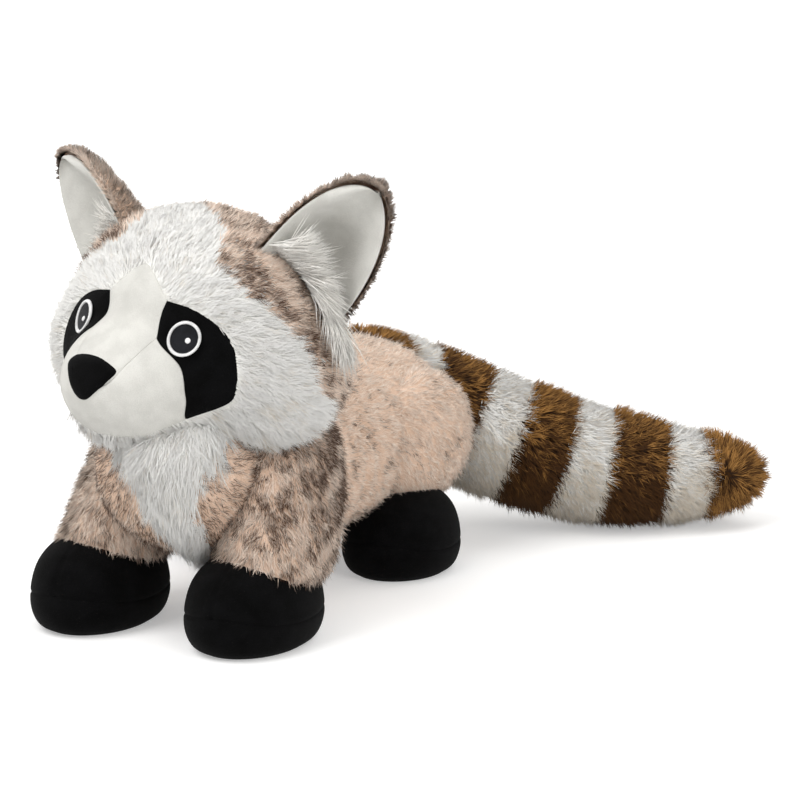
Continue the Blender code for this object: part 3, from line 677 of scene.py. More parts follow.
for side, name in SIDES:
    back = ear_rings(side, EAR_EDGE, lambda s, t: back_lift(s, t, 0.0), back_lift)
    solid("ear_ground_" + name, to_toy(back), tan_ground, ("ear_back_" + name,))
    front = ear_rings(side, EAR_RIM, lining_lift,
                      lambda s, t: lining_lift(s, t) - 0.0022 * edge_fade(s, t) - 0.0002)
    solid("ear_velour_" + name, to_toy(front), white_velour,
          ("ear_lining_" + name,))
print("ears shaped: 2")

# %% [markdown]
# The body, the bib and the front legs are stuffed tubes. A few sections give each one its place
# and half sizes, and a smooth curve through them gives as many rings as are wanted.

# %% Shape the body
BODY_FRONT, BODY_LENGTH, BODY_LEAN = -0.032, 0.260, 0.006
BODY_MIDDLE, BODY_HALF_WIDTH, BODY_HALF_HEIGHT = 0.066, 0.056, 0.050
RUMP = BODY_FRONT + BODY_LENGTH
TORSO_SECTIONS = ((0.000, 1.00, 1.20, 0.21, 0.24), (0.023, 1.00, 1.20, 0.54, 0.56),
                  (0.085, 1.00, 1.17, 0.73, 0.76), (0.200, 1.00, 1.12, 0.86, 0.88),
                  (0.354, 0.67, 1.03, 0.95, 0.96), (0.508, 0.33, 1.00, 0.98, 1.00),
                  (0.662, 0.00, 1.00, 1.00, 1.00), (0.815, 0.00, 0.97, 0.96, 0.94),
                  (0.912, 0.00, 0.94, 0.82, 0.82), (0.973, 0.00, 0.91, 0.55, 0.56),
                  (1.000, 0.00, 0.89, 0.21, 0.22))
LEG_SECTIONS = ((0.0300, 0.042, 0.003, 0.012, 0.0265, 0.0320),
                (0.0360, 0.042, 0.004, 0.014, 0.0285, 0.0340),
                (0.0500, 0.040, 0.006, 0.019, 0.0285, 0.0355),
                (0.0700, 0.036, 0.007, 0.027, 0.0285, 0.0365),
                (0.0900, 0.031, 0.007, 0.033, 0.0260, 0.0345),
                (0.1050, 0.026, 0.006, 0.037, 0.0170, 0.0240),
                (0.1110, 0.024, 0.006, 0.038, 0.0060, 0.0080))
BIB_SECTIONS = ((0.0390, 0.0, 0.018, 0.000, 0.0050, 0.0070),
                (0.0450, 0.0, 0.017, -0.004, 0.0105, 0.0140),
                (0.0570, 0.0, 0.015, -0.010, 0.0180, 0.0210),
                (0.0720, 0.0, 0.013, -0.013, 0.0250, 0.0240),
                (0.0880, 0.0, 0.011, -0.013, 0.0300, 0.0260),
                (0.0990, 0.0, 0.009, -0.010, 0.0300, 0.0250),
                (0.1060, 0.0, 0.008, -0.007, 0.0250, 0.0190),
                (0.1090, 0.0, 0.008, -0.005, 0.0100, 0.0080))
THIGH_SIZE = (0.028, 0.048, 0.0365)
THIGH_PLACES = {LEFT: (0.040, RUMP - 0.063, 0.0625), RIGHT: (0.042, RUMP - 0.068, 0.0625)}
FOLD_PLACES, FOLD_PULL, FOLD_WIDTH = (0.093, 0.105), 0.0030, 0.0034
BELLY_MIDDLE, BELLY_LEVEL, BELLY_RISE = 0.105, 0.037, 0.35


def stack(middles, wides, talls, columns):
    """Rings round each middle: middle + cos(turn) * wide + sin(turn) * tall."""
    turn = full_turn(columns)[None, :, None]
    return middles[:, None] + np.cos(turn) * wides[:, None] + np.sin(turn) * talls[:, None]


def torso_rings(grow, rows=150, columns=80):
    """Rings of the torso. Two folds behind the shoulder pull its sides in by 3 mm each.

    A fold lies at y = 93 mm, or 105 mm, less 60 (z - 66 mm)^2 / m above the middle, and its
    profile is exp(-((y - fold) / 3.4 mm)^2). Between the legs the belly is drawn up, by 0.35 of
    how far it hangs below 37 mm.
    """
    spots = np.linspace(0, len(TORSO_SECTIONS) - 1, rows)
    along, lean, height, half, tall = curve(TORSO_SECTIONS, spots).T
    middles = np.stack([lean * BODY_LEAN, BODY_FRONT + along * BODY_LENGTH,
                        height * BODY_MIDDLE], 1)
    rings = stack(middles, np.outer(half * BODY_HALF_WIDTH + grow, (1, 0, 0)),
                  np.outer(tall * BODY_HALF_HEIGHT + grow, (0, 0, 1)), columns)
    over = np.maximum(rings[..., 2] - BODY_MIDDLE, 0.0)
    level = np.exp(-((rings[..., 2] - 0.068) / 0.022) ** 4)
    for place in FOLD_PLACES:
        fold = place - 60.0 * over ** 2
        pull = FOLD_PULL * level * np.exp(-((rings[..., 1] - fold) / FOLD_WIDTH) ** 2)
        rings[..., 0] -= pull * np.sign(rings[..., 0])
    between = np.exp(-((rings[..., 1] - BELLY_MIDDLE) / 0.055) ** 4)
    rings[..., 2] += BELLY_RISE * between * np.maximum(BELLY_LEVEL - rings[..., 2], 0.0)
    return rings


def column_rings(sections, side, grow, rows=36, columns=56):
    """Level rings through sections of (height, across, lean, along, half width, half depth)."""
    spots = np.linspace(0, len(sections) - 1, rows)
    height, across, lean, along, half, deep = curve(sections, spots).T
    middles = np.stack([across * side + lean, along, height], 1)
    return stack(middles, np.outer(half + grow, (1, 0, 0)), np.outer(deep + grow, (0, 1, 0)),
                 columns)


def ball_rings(place, size, grow, rows=28, columns=44):
    """Level rings of a ball: at an angle f from its top the height is c cos f.

    Their half sizes are a sin f and b sin f.
    """
    fall = np.linspace(0.03, math.pi - 0.03, rows)
    half = np.array(size) + grow
    return stack(np.array(place) + np.outer(half[2] * np.cos(fall), (0, 0, 1)),
                 np.outer(half[0] * np.sin(fall), (1, 0, 0)),
                 np.outer(half[1] * np.sin(fall), (0, 1, 0)), columns)


UNDER = -0.0030                # the ground of the body's fabric lies this far inside the solids
torso_skin = torso_rings(UNDER)
bib_skin = column_rings(BIB_SECTIONS, LEFT, UNDER)
leg_skin = {side: column_rings(LEG_SECTIONS, side, UNDER) for side in (LEFT, RIGHT)}
thigh_skin = {side: ball_rings(mirrored(THIGH_PLACES[side], side), THIGH_SIZE, UNDER)
              for side in (LEFT, RIGHT)}
solid("torso_ground", torso_skin, tan_ground, ("torso",))
solid("bib_ground", bib_skin, white_ground, ("chest_bib",))
for side, name in SIDES:
    solid("leg_ground_" + name, leg_skin[side], tan_ground,
          ("front_leg_" + name,))
    solid("thigh_ground_" + name, thigh_skin[side], tan_ground,
          ("thigh_" + name,))
print("stuffed tubes: 6")

# %% [markdown]
# The paws are black velour bags. A paw has an upper and a sole, sewn together all round. The seam
# climbs over the toe, and another runs up the middle of the front, and both pull the cloth in.

# %% Shape the paws
REAR_PAW_PLACES = {LEFT: (0.044, RUMP - 0.082), RIGHT: (0.050, RUMP - 0.089)}
FRONT_PAW_SIZE, REAR_PAW_SIZE = (0.0290, 0.0400), (0.0280, 0.0350)
PAW_HEIGHT, SOLE_HEIGHT, TOE_CLIMB = 0.043, 0.0145, 0.0055
SOLE_SEAM_PULL, TOP_SEAM_PULL, SEAM_WIDTH = 0.0006, 0.0007, 0.0008
PAW_PROFILE = ((0.0000, 0.76), (0.0030, 0.90), (0.0085, 0.98), (0.0150, 1.00), (0.0235, 0.965),
               (0.0312, 0.87), (0.0372, 0.70), (0.0410, 0.47), (0.0428, 0.22), (0.0430, 0.05))


def paw_width(height):
    """The share of the paw's full width that it has at a height."""
    rise, share = curve(PAW_PROFILE, np.linspace(0, len(PAW_PROFILE) - 1, 400)).T
    return np.interp(height, rise, share)


def paw_rings(upper, place, size, side, rows=24, columns=96):
    """Rings of the upper or of the sole, (x, y) = width * (a cos, b sin), pulled in at seams.

    The sole's seam lies at 14.5 mm + 5.5 mm * sin^2 over the toe. The pull is 0.6 mm times
    exp(-(distance / 0.8 mm)^2) from it, and 0.7 mm times the same from the seam up the front.
    """
    turn = full_turn(columns)
    toe = np.maximum(-np.sin(turn), 0.0)
    seam = SOLE_HEIGHT + TOE_CLIMB * toe ** 2
    share = 0.5 - 0.5 * np.cos(np.linspace(0, math.pi, rows))[:, None]
    low, high = (seam, PAW_HEIGHT) if upper else (0.0, seam)
    height = low + (high - low) * share
    wide = paw_width(height)
    flat = wide[..., None] * np.stack([size[0] * np.cos(turn), size[1] * np.sin(turn)], -1)
    pull = SOLE_SEAM_PULL * np.exp(-((height - seam) / SEAM_WIDTH) ** 2)
    top = np.exp(-(flat[..., 0] / SEAM_WIDTH) ** 2)
    pull = pull + TOP_SEAM_PULL * upper * (toe > 0) * top
    flat = flat - unit(flat) * pull[..., None]
    return np.concatenate([flat + (place[0] * side, place[1]), height[..., None]], -1)


for side, name in SIDES:
    for end, places, size in (("front", FRONT_PAW_PLACES, FRONT_PAW_SIZE),
                              ("rear", REAR_PAW_PLACES, REAR_PAW_SIZE)):
        for part in ("paw", "sole"):
            node = "%s_%s_%s" % (end, part, name)
            solid(node + "_velour", paw_rings(part == "paw", places[side], size, side),
                  black_velour, (node,))
print("paws shaped: 4")

# %% [markdown]
# The tail is a tapering tube along a curved path. It is sewn from nine bands, and each band
# swells a little between its seams.

# %% Shape the tail
TAIL_PATH = ((-0.004, RUMP - 0.044, 0.082), (0.000, RUMP - 0.028, 0.078),
             (0.015, RUMP - 0.008, 0.068), (0.041, RUMP + 0.007, 0.0545),
             (0.070, RUMP + 0.022, 0.0425), (0.098, RUMP + 0.039, 0.0335),
             (0.127, RUMP + 0.055, 0.0290), (0.150, RUMP + 0.071, 0.0270),
             (0.168, RUMP + 0.081, 0.0265))
TAIL_RADII = (0.028, 0.029, 0.0305, 0.0315, 0.0310, 0.0297, 0.0255, 0.0200, 0.0155)
TAIL_SEAMS = (0.0, 0.0245, 0.0415, 0.0735, 0.0970, 0.1225, 0.1460, 0.1775, 0.1985)
TAIL_BANDS, TAIL_TIP, TAIL_TIP_ROUND = len(TAIL_SEAMS), 0.003, 4.0

spots = np.linspace(0, len(TAIL_PATH) - 1, 193)
tail_line = curve(TAIL_PATH, spots)
tail_line = np.vstack([tail_line, tail_line[-1] + unit(tail_line[-1] - tail_line[-2]) * TAIL_TIP])
steps = np.linalg.norm(np.diff(tail_line, axis=0), axis=1)
tail_length = np.concatenate([[0.0], np.cumsum(steps)])
tail_radius = np.append(np.interp(spots, np.arange(len(TAIL_RADII)), TAIL_RADII), TAIL_RADII[-1])


def tail_frame(runs):
    """The middle of the tail, its way along, and two ways square to it, at lengths along it."""
    def at(lengths):
        return np.stack([np.interp(lengths, tail_length, tail_line[:, k]) for k in range(3)], 1)
    ways = unit(at(runs + 0.001) - at(runs - 0.001))
    sides = unit(np.cross(ways, (0, 0, 1.0)))
    return at(runs), ways, sides, np.cross(sides, ways)


def tail_rings(start, end, tip, grow, rows=10, columns=72):
    """Rings of one band, 1.2 mm thinner at its seams. The last one ends as sqrt(1 - share^4)."""
    runs = np.linspace(start, end, rows)
    share = (runs - start) / (end - start)
    middles, _, sides, ups = tail_frame(runs)
    half = np.interp(runs, tail_length, tail_radius) + grow
    half = half - 0.0012 * (2 * share - 1) ** 4
    if tip:
        half = half * np.sqrt(np.clip(1.0 - share ** TAIL_TIP_ROUND, 0.001, 1.0))
    return stack(middles, sides * half[:, None], ups * half[:, None], columns)


tail_skin = []
for band in range(TAIL_BANDS):
    tip = band == TAIL_BANDS - 1
    end = tail_length[-1] if tip else TAIL_SEAMS[band + 1]
    rings = tail_rings(TAIL_SEAMS[band], end, tip, -0.0025, 24 if tip else 10)
    tail_skin.append(rings)
    brown = band % 2 == 0
    solid("tail_ground_%d" % (band + 1), rings, brown_ground if brown else white_ground,
          ("tail_band_%d" % (band + 1),))
print("tail bands:", len(tail_skin), "length, mm:", round(1000 * tail_length[-1]))

# %% [markdown]
# Now the pile. Strands start at points scattered evenly over a surface, so each small face of the
# surface gets its share by area. All chance numbers come from numbered seeds, so that every run
# gives the same toy.

# %% Scatter roots over a surface
def scatter(rings, count, seed):
    """Random roots over a stack of rings, with the surface's outward way at each.

    A face is drawn with a chance in proportion to its area. Inside it, the root is the mix of
    the four corners with shares (1-a)(1-b), a(1-b), ab and (1-a)b.
    """
    rng = np.random.default_rng(seed)
    around = np.concatenate([rings, rings[:, :1]], 1)
    corners = [around[:-1, :-1], around[1:, :-1], around[1:, 1:], around[:-1, 1:]]
    area = np.linalg.norm(np.cross(corners[2] - corners[0], corners[3] - corners[1]), axis=-1)
    pick = rng.choice(area.size, count, p=area.ravel() / area.sum())
    along = np.gradient(around, axis=0)
    across = np.gradient(np.concatenate([around[:, -2:-1], around, around[:, 1:2]], 1), axis=1)
    outward = unit(np.cross(along, across[:, 1:-1]))
    middle = rings.reshape(-1, 3).mean(0)
    if ((around - middle) * outward).sum() < 0:
        outward = -outward
    a, b = rng.random((2, count, 1))
    shares = ((1 - a) * (1 - b), a * (1 - b), a * b, (1 - a) * b)

    def blend(grid):
        cells = [grid[:-1, :-1], grid[1:, :-1], grid[1:, 1:], grid[:-1, 1:]]
        return sum(share * cell.reshape(-1, 3)[pick] for share, cell in zip(shares, cells))

    return blend(around), unit(blend(outward))


def hashed(cells, salt):
    """A chance number from 0 to 1 for each cell of three whole numbers, always the same."""
    x, y, z = cells.astype(np.uint64).T
    mixed = x * np.uint64(73856093) ^ y * np.uint64(19349663) ^ z * np.uint64(83492791)
    mixed = (mixed ^ np.uint64(salt * 7919)) * np.uint64(6364136223846793005)
    mixed = (mixed ^ (mixed >> np.uint64(31))) * np.uint64(2862933555777941757)
    return (mixed >> np.uint64(40)).astype(float) / float(1 << 24)


def clump_centres(points, spacing):
    """The nearest point of a jittered lattice to each root, and that point's own cell."""
    base = np.floor(points / spacing).astype(np.int64)
    best = np.full(len(points), np.inf)
    centres, owners = points.copy(), base.copy()
    for step in np.ndindex(3, 3, 3):
        cells = base + np.array(step) - 1
        centre = (cells + np.stack([hashed(cells, k) for k in (1, 2, 3)], 1)) * spacing
        far = ((points - centre) ** 2).sum(1)
        closer = far < best
        best[closer], centres[closer], owners[closer] = far[closer], centre[closer], cells[closer]
    return centres, owners


def ripple(points, size, seed):
    """Smooth noise, mostly from -1 to 1: twelve sine waves about size long, in chance ways."""
    rng = np.random.default_rng(seed)
    waves = unit(rng.normal(size=(12, 3))) * rng.uniform(0.6, 1.5, (12, 1)) * 2 * math.pi / size
    return np.sin(points @ waves.T + rng.uniform(0, 2 * math.pi, 12)).sum(1) / math.sqrt(12)


# %% [markdown]
# A strand is a long thin cone with three sides and no foot, so it takes only three faces. Strands
# near each other lean towards one clump centre, as plush does, and the clump gives them a common
# turn and lift. Each point takes most of its shading direction from the cloth below, which keeps
# the pile soft.

# %% Grow strands
FLOOR_GAP = 0.0004             # strands that would reach the floor are bent to stay above it


def grow_pile(name, roots, outward, lay, material, length, width=0.00022, lift=0.5,
              clump=0.0045, pull=0.55, stray=0.25, tips=0.0, fleck=(1, 1, 1), seed=1):
    """A mesh of cones. length, width, lift and tips are numbers or one number for each strand.

    The way of a strand is lay, made square to the cloth and turned by its clump, times
    cos(lift) plus outward times sin(lift), plus stray chance. Its tip then moves a share, pull,
    of the way to the clump's centre. The tip is dark where tips + a chance number that small
    tufts share is about 1 or more. The tufts are squeezed by the three numbers of fleck.
    """
    rng = np.random.default_rng(seed)
    count = len(roots)
    length, width, lift, tips = (np.broadcast_to(value, (count,)).astype(float)[:, None]
                                 for value in (length, width, lift, tips))
    centres, owners = clump_centres(roots, clump)
    mood = np.stack([hashed(owners, k) for k in (4, 5, 6)], 1)
    tuft = sum(share * hashed(clump_centres(roots * fleck, size)[1], 9)
               for share, size in ((0.35, 0.0010), (0.40, 0.0019), (0.25, 0.0034)))[:, None]
    tips = np.clip(0.5 + (tips + tuft - 1.0) / 0.4 + 0.25 * rng.normal(size=(count, 1)), 0.0, 1.0)
    along = unit(lay - (lay * outward).sum(1, keepdims=True) * outward)
    aside = np.cross(outward, along)
    swing = 0.9 * (mood[:, :1] - 0.5)
    along = along * np.cos(swing) + aside * np.sin(swing)
    lift = lift + 0.35 * (mood[:, 1:2] - 0.5)
    way = along * np.cos(lift) + outward * np.sin(lift) + stray * rng.normal(size=(count, 3))
    length = length * (0.8 + 0.3 * mood[:, 2:]) * rng.uniform(0.75, 1.1, (count, 1))
    gather = centres - roots
    gather -= (gather * outward).sum(1, keepdims=True) * outward
    way = unit(unit(way) * length + pull * gather)
    first = unit(np.cross(way, outward))
    second = np.cross(way, first)
    turn = 2 * math.pi / 3 * np.arange(3) + 0.5 * math.pi
    spokes = [math.cos(t) * first + math.sin(t) * second for t in turn]
    foot = roots - 0.0004 * outward
    points = np.stack([foot + width * spoke for spoke in spokes] + [foot + way * length], 1)
    points[..., 2] = np.maximum(points[..., 2], FLOOR_GAP)
    normals = np.stack([unit(0.9 * outward + 0.35 * spoke) for spoke in spokes]
                       + [unit(0.8 * outward + 0.45 * way)], 1)
    start = 4 * np.arange(count)[:, None, None]
    faces = start + np.array(((0, 1, 3), (1, 2, 3), (2, 0, 3)))
    thing = fill_mesh(name, points.reshape(-1, 3), faces.reshape(-1, 3))
    thing.data.normals_split_custom_set_from_vertices(normals.reshape(-1, 3))
    values = np.stack([np.tile((0.0, 0.0, 0.0, 1.0), count), np.repeat(rng.random(count), 4),
                       np.repeat(tips, 4), np.ones(4 * count)], 1)
    paint(thing, "strand", values)
    print(name, "strands:", count)
    return dress(thing, material)


# %% [markdown]
# Strands that would start inside a neighbouring form are left out. Each test says whether a point
# lies inside a form that has been made smaller by a margin.

# %% Leave out roots inside a neighbour
def in_head(points, margin=0.0):
    """Inside where the distance from the head's middle is less than the head's radius that way."""
    local = (points - HEAD_PLACE) @ HEAD_AXES
    reach = np.linalg.norm(local, axis=1)
    return reach < head_radius(unit(local)) - margin


def in_column(points, sections, side, margin=0.0):
    """Inside where ((x - cx) / a)^2 + ((y - cy) / b)^2 < 1, with the section at that height."""
    table = np.array(sections)
    across, lean, along, half, deep = (np.interp(points[:, 2], table[:, 0], table[:, k])
                                       for k in range(1, 6))
    level = (points[:, 2] > table[0, 0]) & (points[:, 2] < table[-1, 0])
    return level & (((points[:, 0] - across * side - lean) / (half - margin)) ** 2
                    + ((points[:, 1] - along) / (deep - margin)) ** 2 < 1.0)


def in_torso(points, margin=0.0):
    """The same test as in_column, with the torso's sections from its chest to its rump."""
    table = np.array(TORSO_SECTIONS)
    share = (points[:, 1] - BODY_FRONT) / BODY_LENGTH
    lean, height, half, tall = (np.interp(share, table[:, 0], table[:, k]) for k in range(1, 5))
    level = (share > 0.0) & (share < 1.0)
    return level & (((points[:, 0] - lean * BODY_LEAN) / (half * BODY_HALF_WIDTH - margin)) ** 2
                    + ((points[:, 2] - height * BODY_MIDDLE)
                       / (tall * BODY_HALF_HEIGHT - margin)) ** 2 < 1.0)


def in_ball(points, place, size, margin=0.0):
    """Inside where the squares of (p - place) / size add up to less than 1."""
    return (((points - np.array(place)) / (np.array(size) - margin)) ** 2).sum(1) < 1.0


def in_paw(points, place, size, side, margin=0.0):
    """Inside where the squares of (p - place) / size add up to less than paw_width squared."""
    flat = (points[:, :2] - (place[0] * side, place[1])) / (np.array(size) - margin)
    inside = (flat ** 2).sum(1) < paw_width(points[:, 2]) ** 2
    return inside & (points[:, 2] < PAW_HEIGHT - margin)


# %% [markdown]
# The head carries two fabrics. The white one covers the forehead and the cheeks, and the brown one
# the back, with a strip that comes down in front of each ear. The edge between them is drawn from
# the side, as how far back the white reaches at each height, and from above over the forehead.

# %% Grow the pile of the head
FACE_EDGE = ((-0.026, 0.046), (-0.025, 0.036), (-0.023, 0.027), (-0.014, 0.014), (-0.009, 0.001),
             (-0.006, -0.014), (-0.002, -0.019), (0.008, -0.024), (0.010, -0.034),
             (-0.003, -0.045))
FOREHEAD_EDGE = ((0.031, -0.026), (0.027, -0.018), (0.024, -0.010), (0.016, -0.005),
                 (0.006, 0.000), (-0.008, 0.010), (-0.021, 0.012), (-0.026, 0.000),
                 (-0.023, -0.013), (-0.023, -0.022), (-0.031, -0.026))
FOREHEAD_FLOOR, FRONT = 0.030, -0.1


def in_outline(x, y, outline):
    """Inside where a ray to the right crosses the outline an odd number of times."""
    a = np.array(outline)
    b = np.roll(a, -1, 0)
    crosses = (a[:, 1] > y[:, None]) != (b[:, 1] > y[:, None])
    slope = (b[:, 0] - a[:, 0]) / np.where(b[:, 1] == a[:, 1], 1.0, b[:, 1] - a[:, 1])
    meets = a[:, 0] + slope * (y[:, None] - a[:, 1])
    return (crosses & (x[:, None] < meets)).sum(1) % 2 == 1


def behind_white(points):
    """How far behind the edge of the white fabric a point of the head's own frame lies."""
    back, height = np.array(FACE_EDGE)[::-1].T
    edge = np.interp(points[:, 2], height, back) + 0.0010 * ripple(points, 0.009, 5)
    return np.where(points[:, 2] < height[-1], points[:, 1] - edge, 0.02)


def in_white(points):
    """Whether points of the head's own frame lie on its white fabric."""
    wander = 0.0010 * ripple(points, 0.009, 6)
    wedge = ((0.031, FRONT), *FOREHEAD_EDGE, (-0.031, FRONT))
    top = in_outline(points[:, 0] + wander, points[:, 1], wedge) & (points[:, 2] > FOREHEAD_FLOOR)
    return (behind_white(points) < 0.0) | top


PILE_JAW = ((0.0200, -0.0362), (0.0100, -0.0385))
MASK = both_sides(BLAZE + EYE_PATCH[1:7] + PILE_JAW)
HEAD_ROOTS, CROWN_SHARE = 150000, 4      # of the crown's roots, all but one in four are used
roots, outward = scatter(head_skin, HEAD_ROOTS, 11)
masked = in_outline(roots[:, 0], roots[:, 2], MASK) & (roots[:, 1] < FACE_DEPTH)
white = in_white(roots)
lay_face = unit(roots - np.array((0.0, -0.075, -0.004))) + np.array((0.0, 0.15, -0.25))
lay_crown = np.array((0.0, 0.9, -0.5)) + 0.4 * unit(roots)
in_neck = in_torso(to_toy(roots), 0.004)
pick = white & ~masked & ~in_neck
low = np.clip((-0.020 - roots[pick, 2]) / 0.02, 0, 1)
high = np.clip((roots[pick, 2] - 0.005) / 0.02, 0, 1)
grow_pile("face_pile", to_toy(roots[pick]), outward[pick] @ HEAD_AXES.T,
          lay_face[pick] @ HEAD_AXES.T, white_pile,
          0.0082 + 0.002 * low - 0.0018 * high, 0.00025, 0.50 - 0.22 * high, clump=0.0042,
          pull=0.5, stray=0.17, tips=0.10 + 0.2 * ripple(roots[pick], 0.02, 3) * (1.0 - high),
          seed=12)
pick = ~white & ~masked & ~in_neck & (np.arange(HEAD_ROOTS) % CROWN_SHARE > 0)
fringe = np.exp(-(behind_white(roots[pick]) / 0.010) ** 2)
streaks = np.clip(0.34 + 0.44 * fringe + 0.22 * ripple(roots[pick], 0.012, 7), 0, 0.95)
grow_pile("crown_pile", to_toy(roots[pick]), outward[pick] @ HEAD_AXES.T,
          lay_crown[pick] @ HEAD_AXES.T, tan_pile, 0.0068, 0.00026, 0.36,
          clump=0.0036, tips=streaks, fleck=(1.3, 0.55, 0.7), seed=13)

# %% [markdown]
# On the body the pile lies flatter. It runs backwards along the torso and down the legs. Its dark
# tips show most on the legs and the shoulders, and a little more over the two folds behind the
# shoulder.

# %% Grow the pile of the body
TORSO_ROOTS, LEG_ROOTS, THIGH_ROOTS, BIB_ROOTS = 78000, 34000, 18000, 24000
roots, outward = scatter(torso_skin, TORSO_ROOTS, 21)
keep = ~in_head(roots, 0.002) & ~in_column(roots, BIB_SECTIONS, LEFT, 0.003)
for side in (LEFT, RIGHT):
    keep &= ~in_column(roots, LEG_SECTIONS, side, 0.004)
    keep &= ~in_ball(roots, mirrored(THIGH_PLACES[side], side), THIGH_SIZE, 0.004)
roots, outward = roots[keep], outward[keep]
lay = np.array((0.0, 1.0, -0.45))
shoulder = np.clip((0.080 - roots[:, 1]) / 0.05, 0, 1)
tip_dark = np.exp(-((roots[:, 1] - 0.096) / 0.020) ** 2)
dark = 0.14 + 0.68 * shoulder + 0.16 * tip_dark
dark = dark + (0.22 + 0.18 * shoulder) * ripple(roots, 0.014, 8)
half = len(roots) // 2
for number, part in ((1, slice(None, half)), (2, slice(half, None))):
    grow_pile("torso_pile_%d" % number, roots[part], outward[part], lay, tan_pile,
              0.0058, 0.00024, 0.24, clump=0.0038, tips=dark[part],
              fleck=(1.3, 0.5, 1.3), seed=20 + number)

for side, name in SIDES:
    roots, outward = scatter(leg_skin[side], LEG_ROOTS, 31 + side)
    keep = ~in_head(roots, 0.002) & ~in_torso(roots, 0.005)
    keep &= ~in_column(roots, BIB_SECTIONS, LEFT, 0.0038)
    keep &= ~in_paw(roots, FRONT_PAW_PLACES[side], FRONT_PAW_SIZE, side, 0.001)
    roots, outward = roots[keep], outward[keep]
    lay = np.array((0.0, -0.1, -1.0)) + 0.25 * outward
    high = np.clip((roots[:, 2] - 0.045) / 0.03, 0, 1)
    tip_dark = 0.48 + 0.24 * high if side == LEFT else 0.30
    dark = np.clip(tip_dark + 0.30 * ripple(roots, 0.013, 9), 0.05, 0.95)
    grow_pile("leg_pile_" + name, roots, outward, lay, tan_pile, 0.0068, 0.00024,
              0.34, clump=0.0044, pull=0.7, tips=dark, fleck=(1.2, 1.2, 0.45), seed=33 + side)
    roots, outward = scatter(thigh_skin[side], THIGH_ROOTS, 41 + side)
    keep = ~in_torso(roots, 0.005)
    keep &= ~in_paw(roots, REAR_PAW_PLACES[side], REAR_PAW_SIZE, side, -0.0015)
    roots, outward = roots[keep], outward[keep]
    grow_pile("thigh_pile_" + name, roots, outward, np.array((0.0, 0.6, -0.7)), tan_pile,
              0.0056, 0.00022, 0.26, clump=0.0040,
              tips=0.14 + 0.22 * ripple(roots, 0.018, 10), seed=43 + side)

roots, outward = scatter(bib_skin, BIB_ROOTS, 51)
keep = ~in_head(roots, 0.002) & ~in_torso(roots, 0.004)
for side in (LEFT, RIGHT):
    keep &= ~in_column(roots, LEG_SECTIONS, side, 0.003)
roots, outward = roots[keep], outward[keep]
grow_pile("bib_pile", roots, outward, np.array((0.1, -0.1, -1.0)), white_pile,
          0.0115, 0.00026, 0.24, clump=0.0055, pull=0.6, stray=0.16, tips=0.15, seed=52)

# %% [markdown]
# The tail's pile is longer and stands up in tufts. The brown bands are golden at the tips and dark
# at the roots. Their golden tips sit mostly on the upper side as a painted highlight, so the brown
# is darker below as painted shade, and the white bands get warm darker tips below, also painted
# shade. At the tip of the tail the pile spreads like a rosette, whose middle faces the way the
# photograph was taken from.

# %% Grow the pile of the tail
VIEWED_FROM = np.array((0.444, -0.872, 0.208))
ROSETTE = tail_frame(tail_length[-1:] - 0.017)[0][0] + 0.016 * VIEWED_FROM
BAND_ROOTS = 6500
TAIL_PILES = ((0, brown_pile, "brown_fur", 61), (1, white_pile, "white_fur", 62))
for first, material, slot, seed in TAIL_PILES:
    roots, outward = [], []
    for band in range(first, TAIL_BANDS, 2):
        spots, ways = scatter(tail_skin[band], BAND_ROOTS, seed + 2 * band)
        roots.append(spots)
        outward.append(ways)
    roots, outward = np.vstack(roots), np.vstack(outward)
    keep = ~in_torso(roots, 0.003)
    roots, outward = roots[keep], outward[keep]
    near = ((roots[:, None] - tail_line[None, ::4]) ** 2).sum(2).argmin(1)
    ways = unit(np.gradient(tail_line[::4], axis=0))[near]
    run = tail_length[::4][near]
    at_tip = np.clip((run - TAIL_SEAMS[-1]) / 0.006, 0, 1)[:, None]
    lay = (1 - at_tip) * (ways + np.array((0.0, 0.0, -0.5))) + at_tip * unit(roots - ROSETTE)
    # up is how far each root faces upwards. It paints light into the tips: more golden tips on top
    # of the brown bands as a painted highlight, and warm darker tips under the white bands as
    # painted shade.
    up = np.clip(0.35 + 0.75 * outward[:, 2] + 0.25 * ripple(roots, 0.02, 12), 0, 1)
    tips = 0.02 + 0.50 * up if first == 0 else 0.75 - 0.45 * up
    tips = np.where(at_tip[:, 0] > 0.5, 0.52 if first == 0 else 0.3, tips)
    grow_pile("tail_pile_" + slot[:5], roots, outward, lay, material, 0.0092, 0.00036,
              0.80 - 0.35 * up * (first == 1), clump=0.0034, pull=0.9, stray=0.22, tips=tips,
              seed=seed)

# %% [markdown]
# The back of each ear has the brown pile too, which shows as a rim round the white lining. The rim
# is darkest along the lower edge.

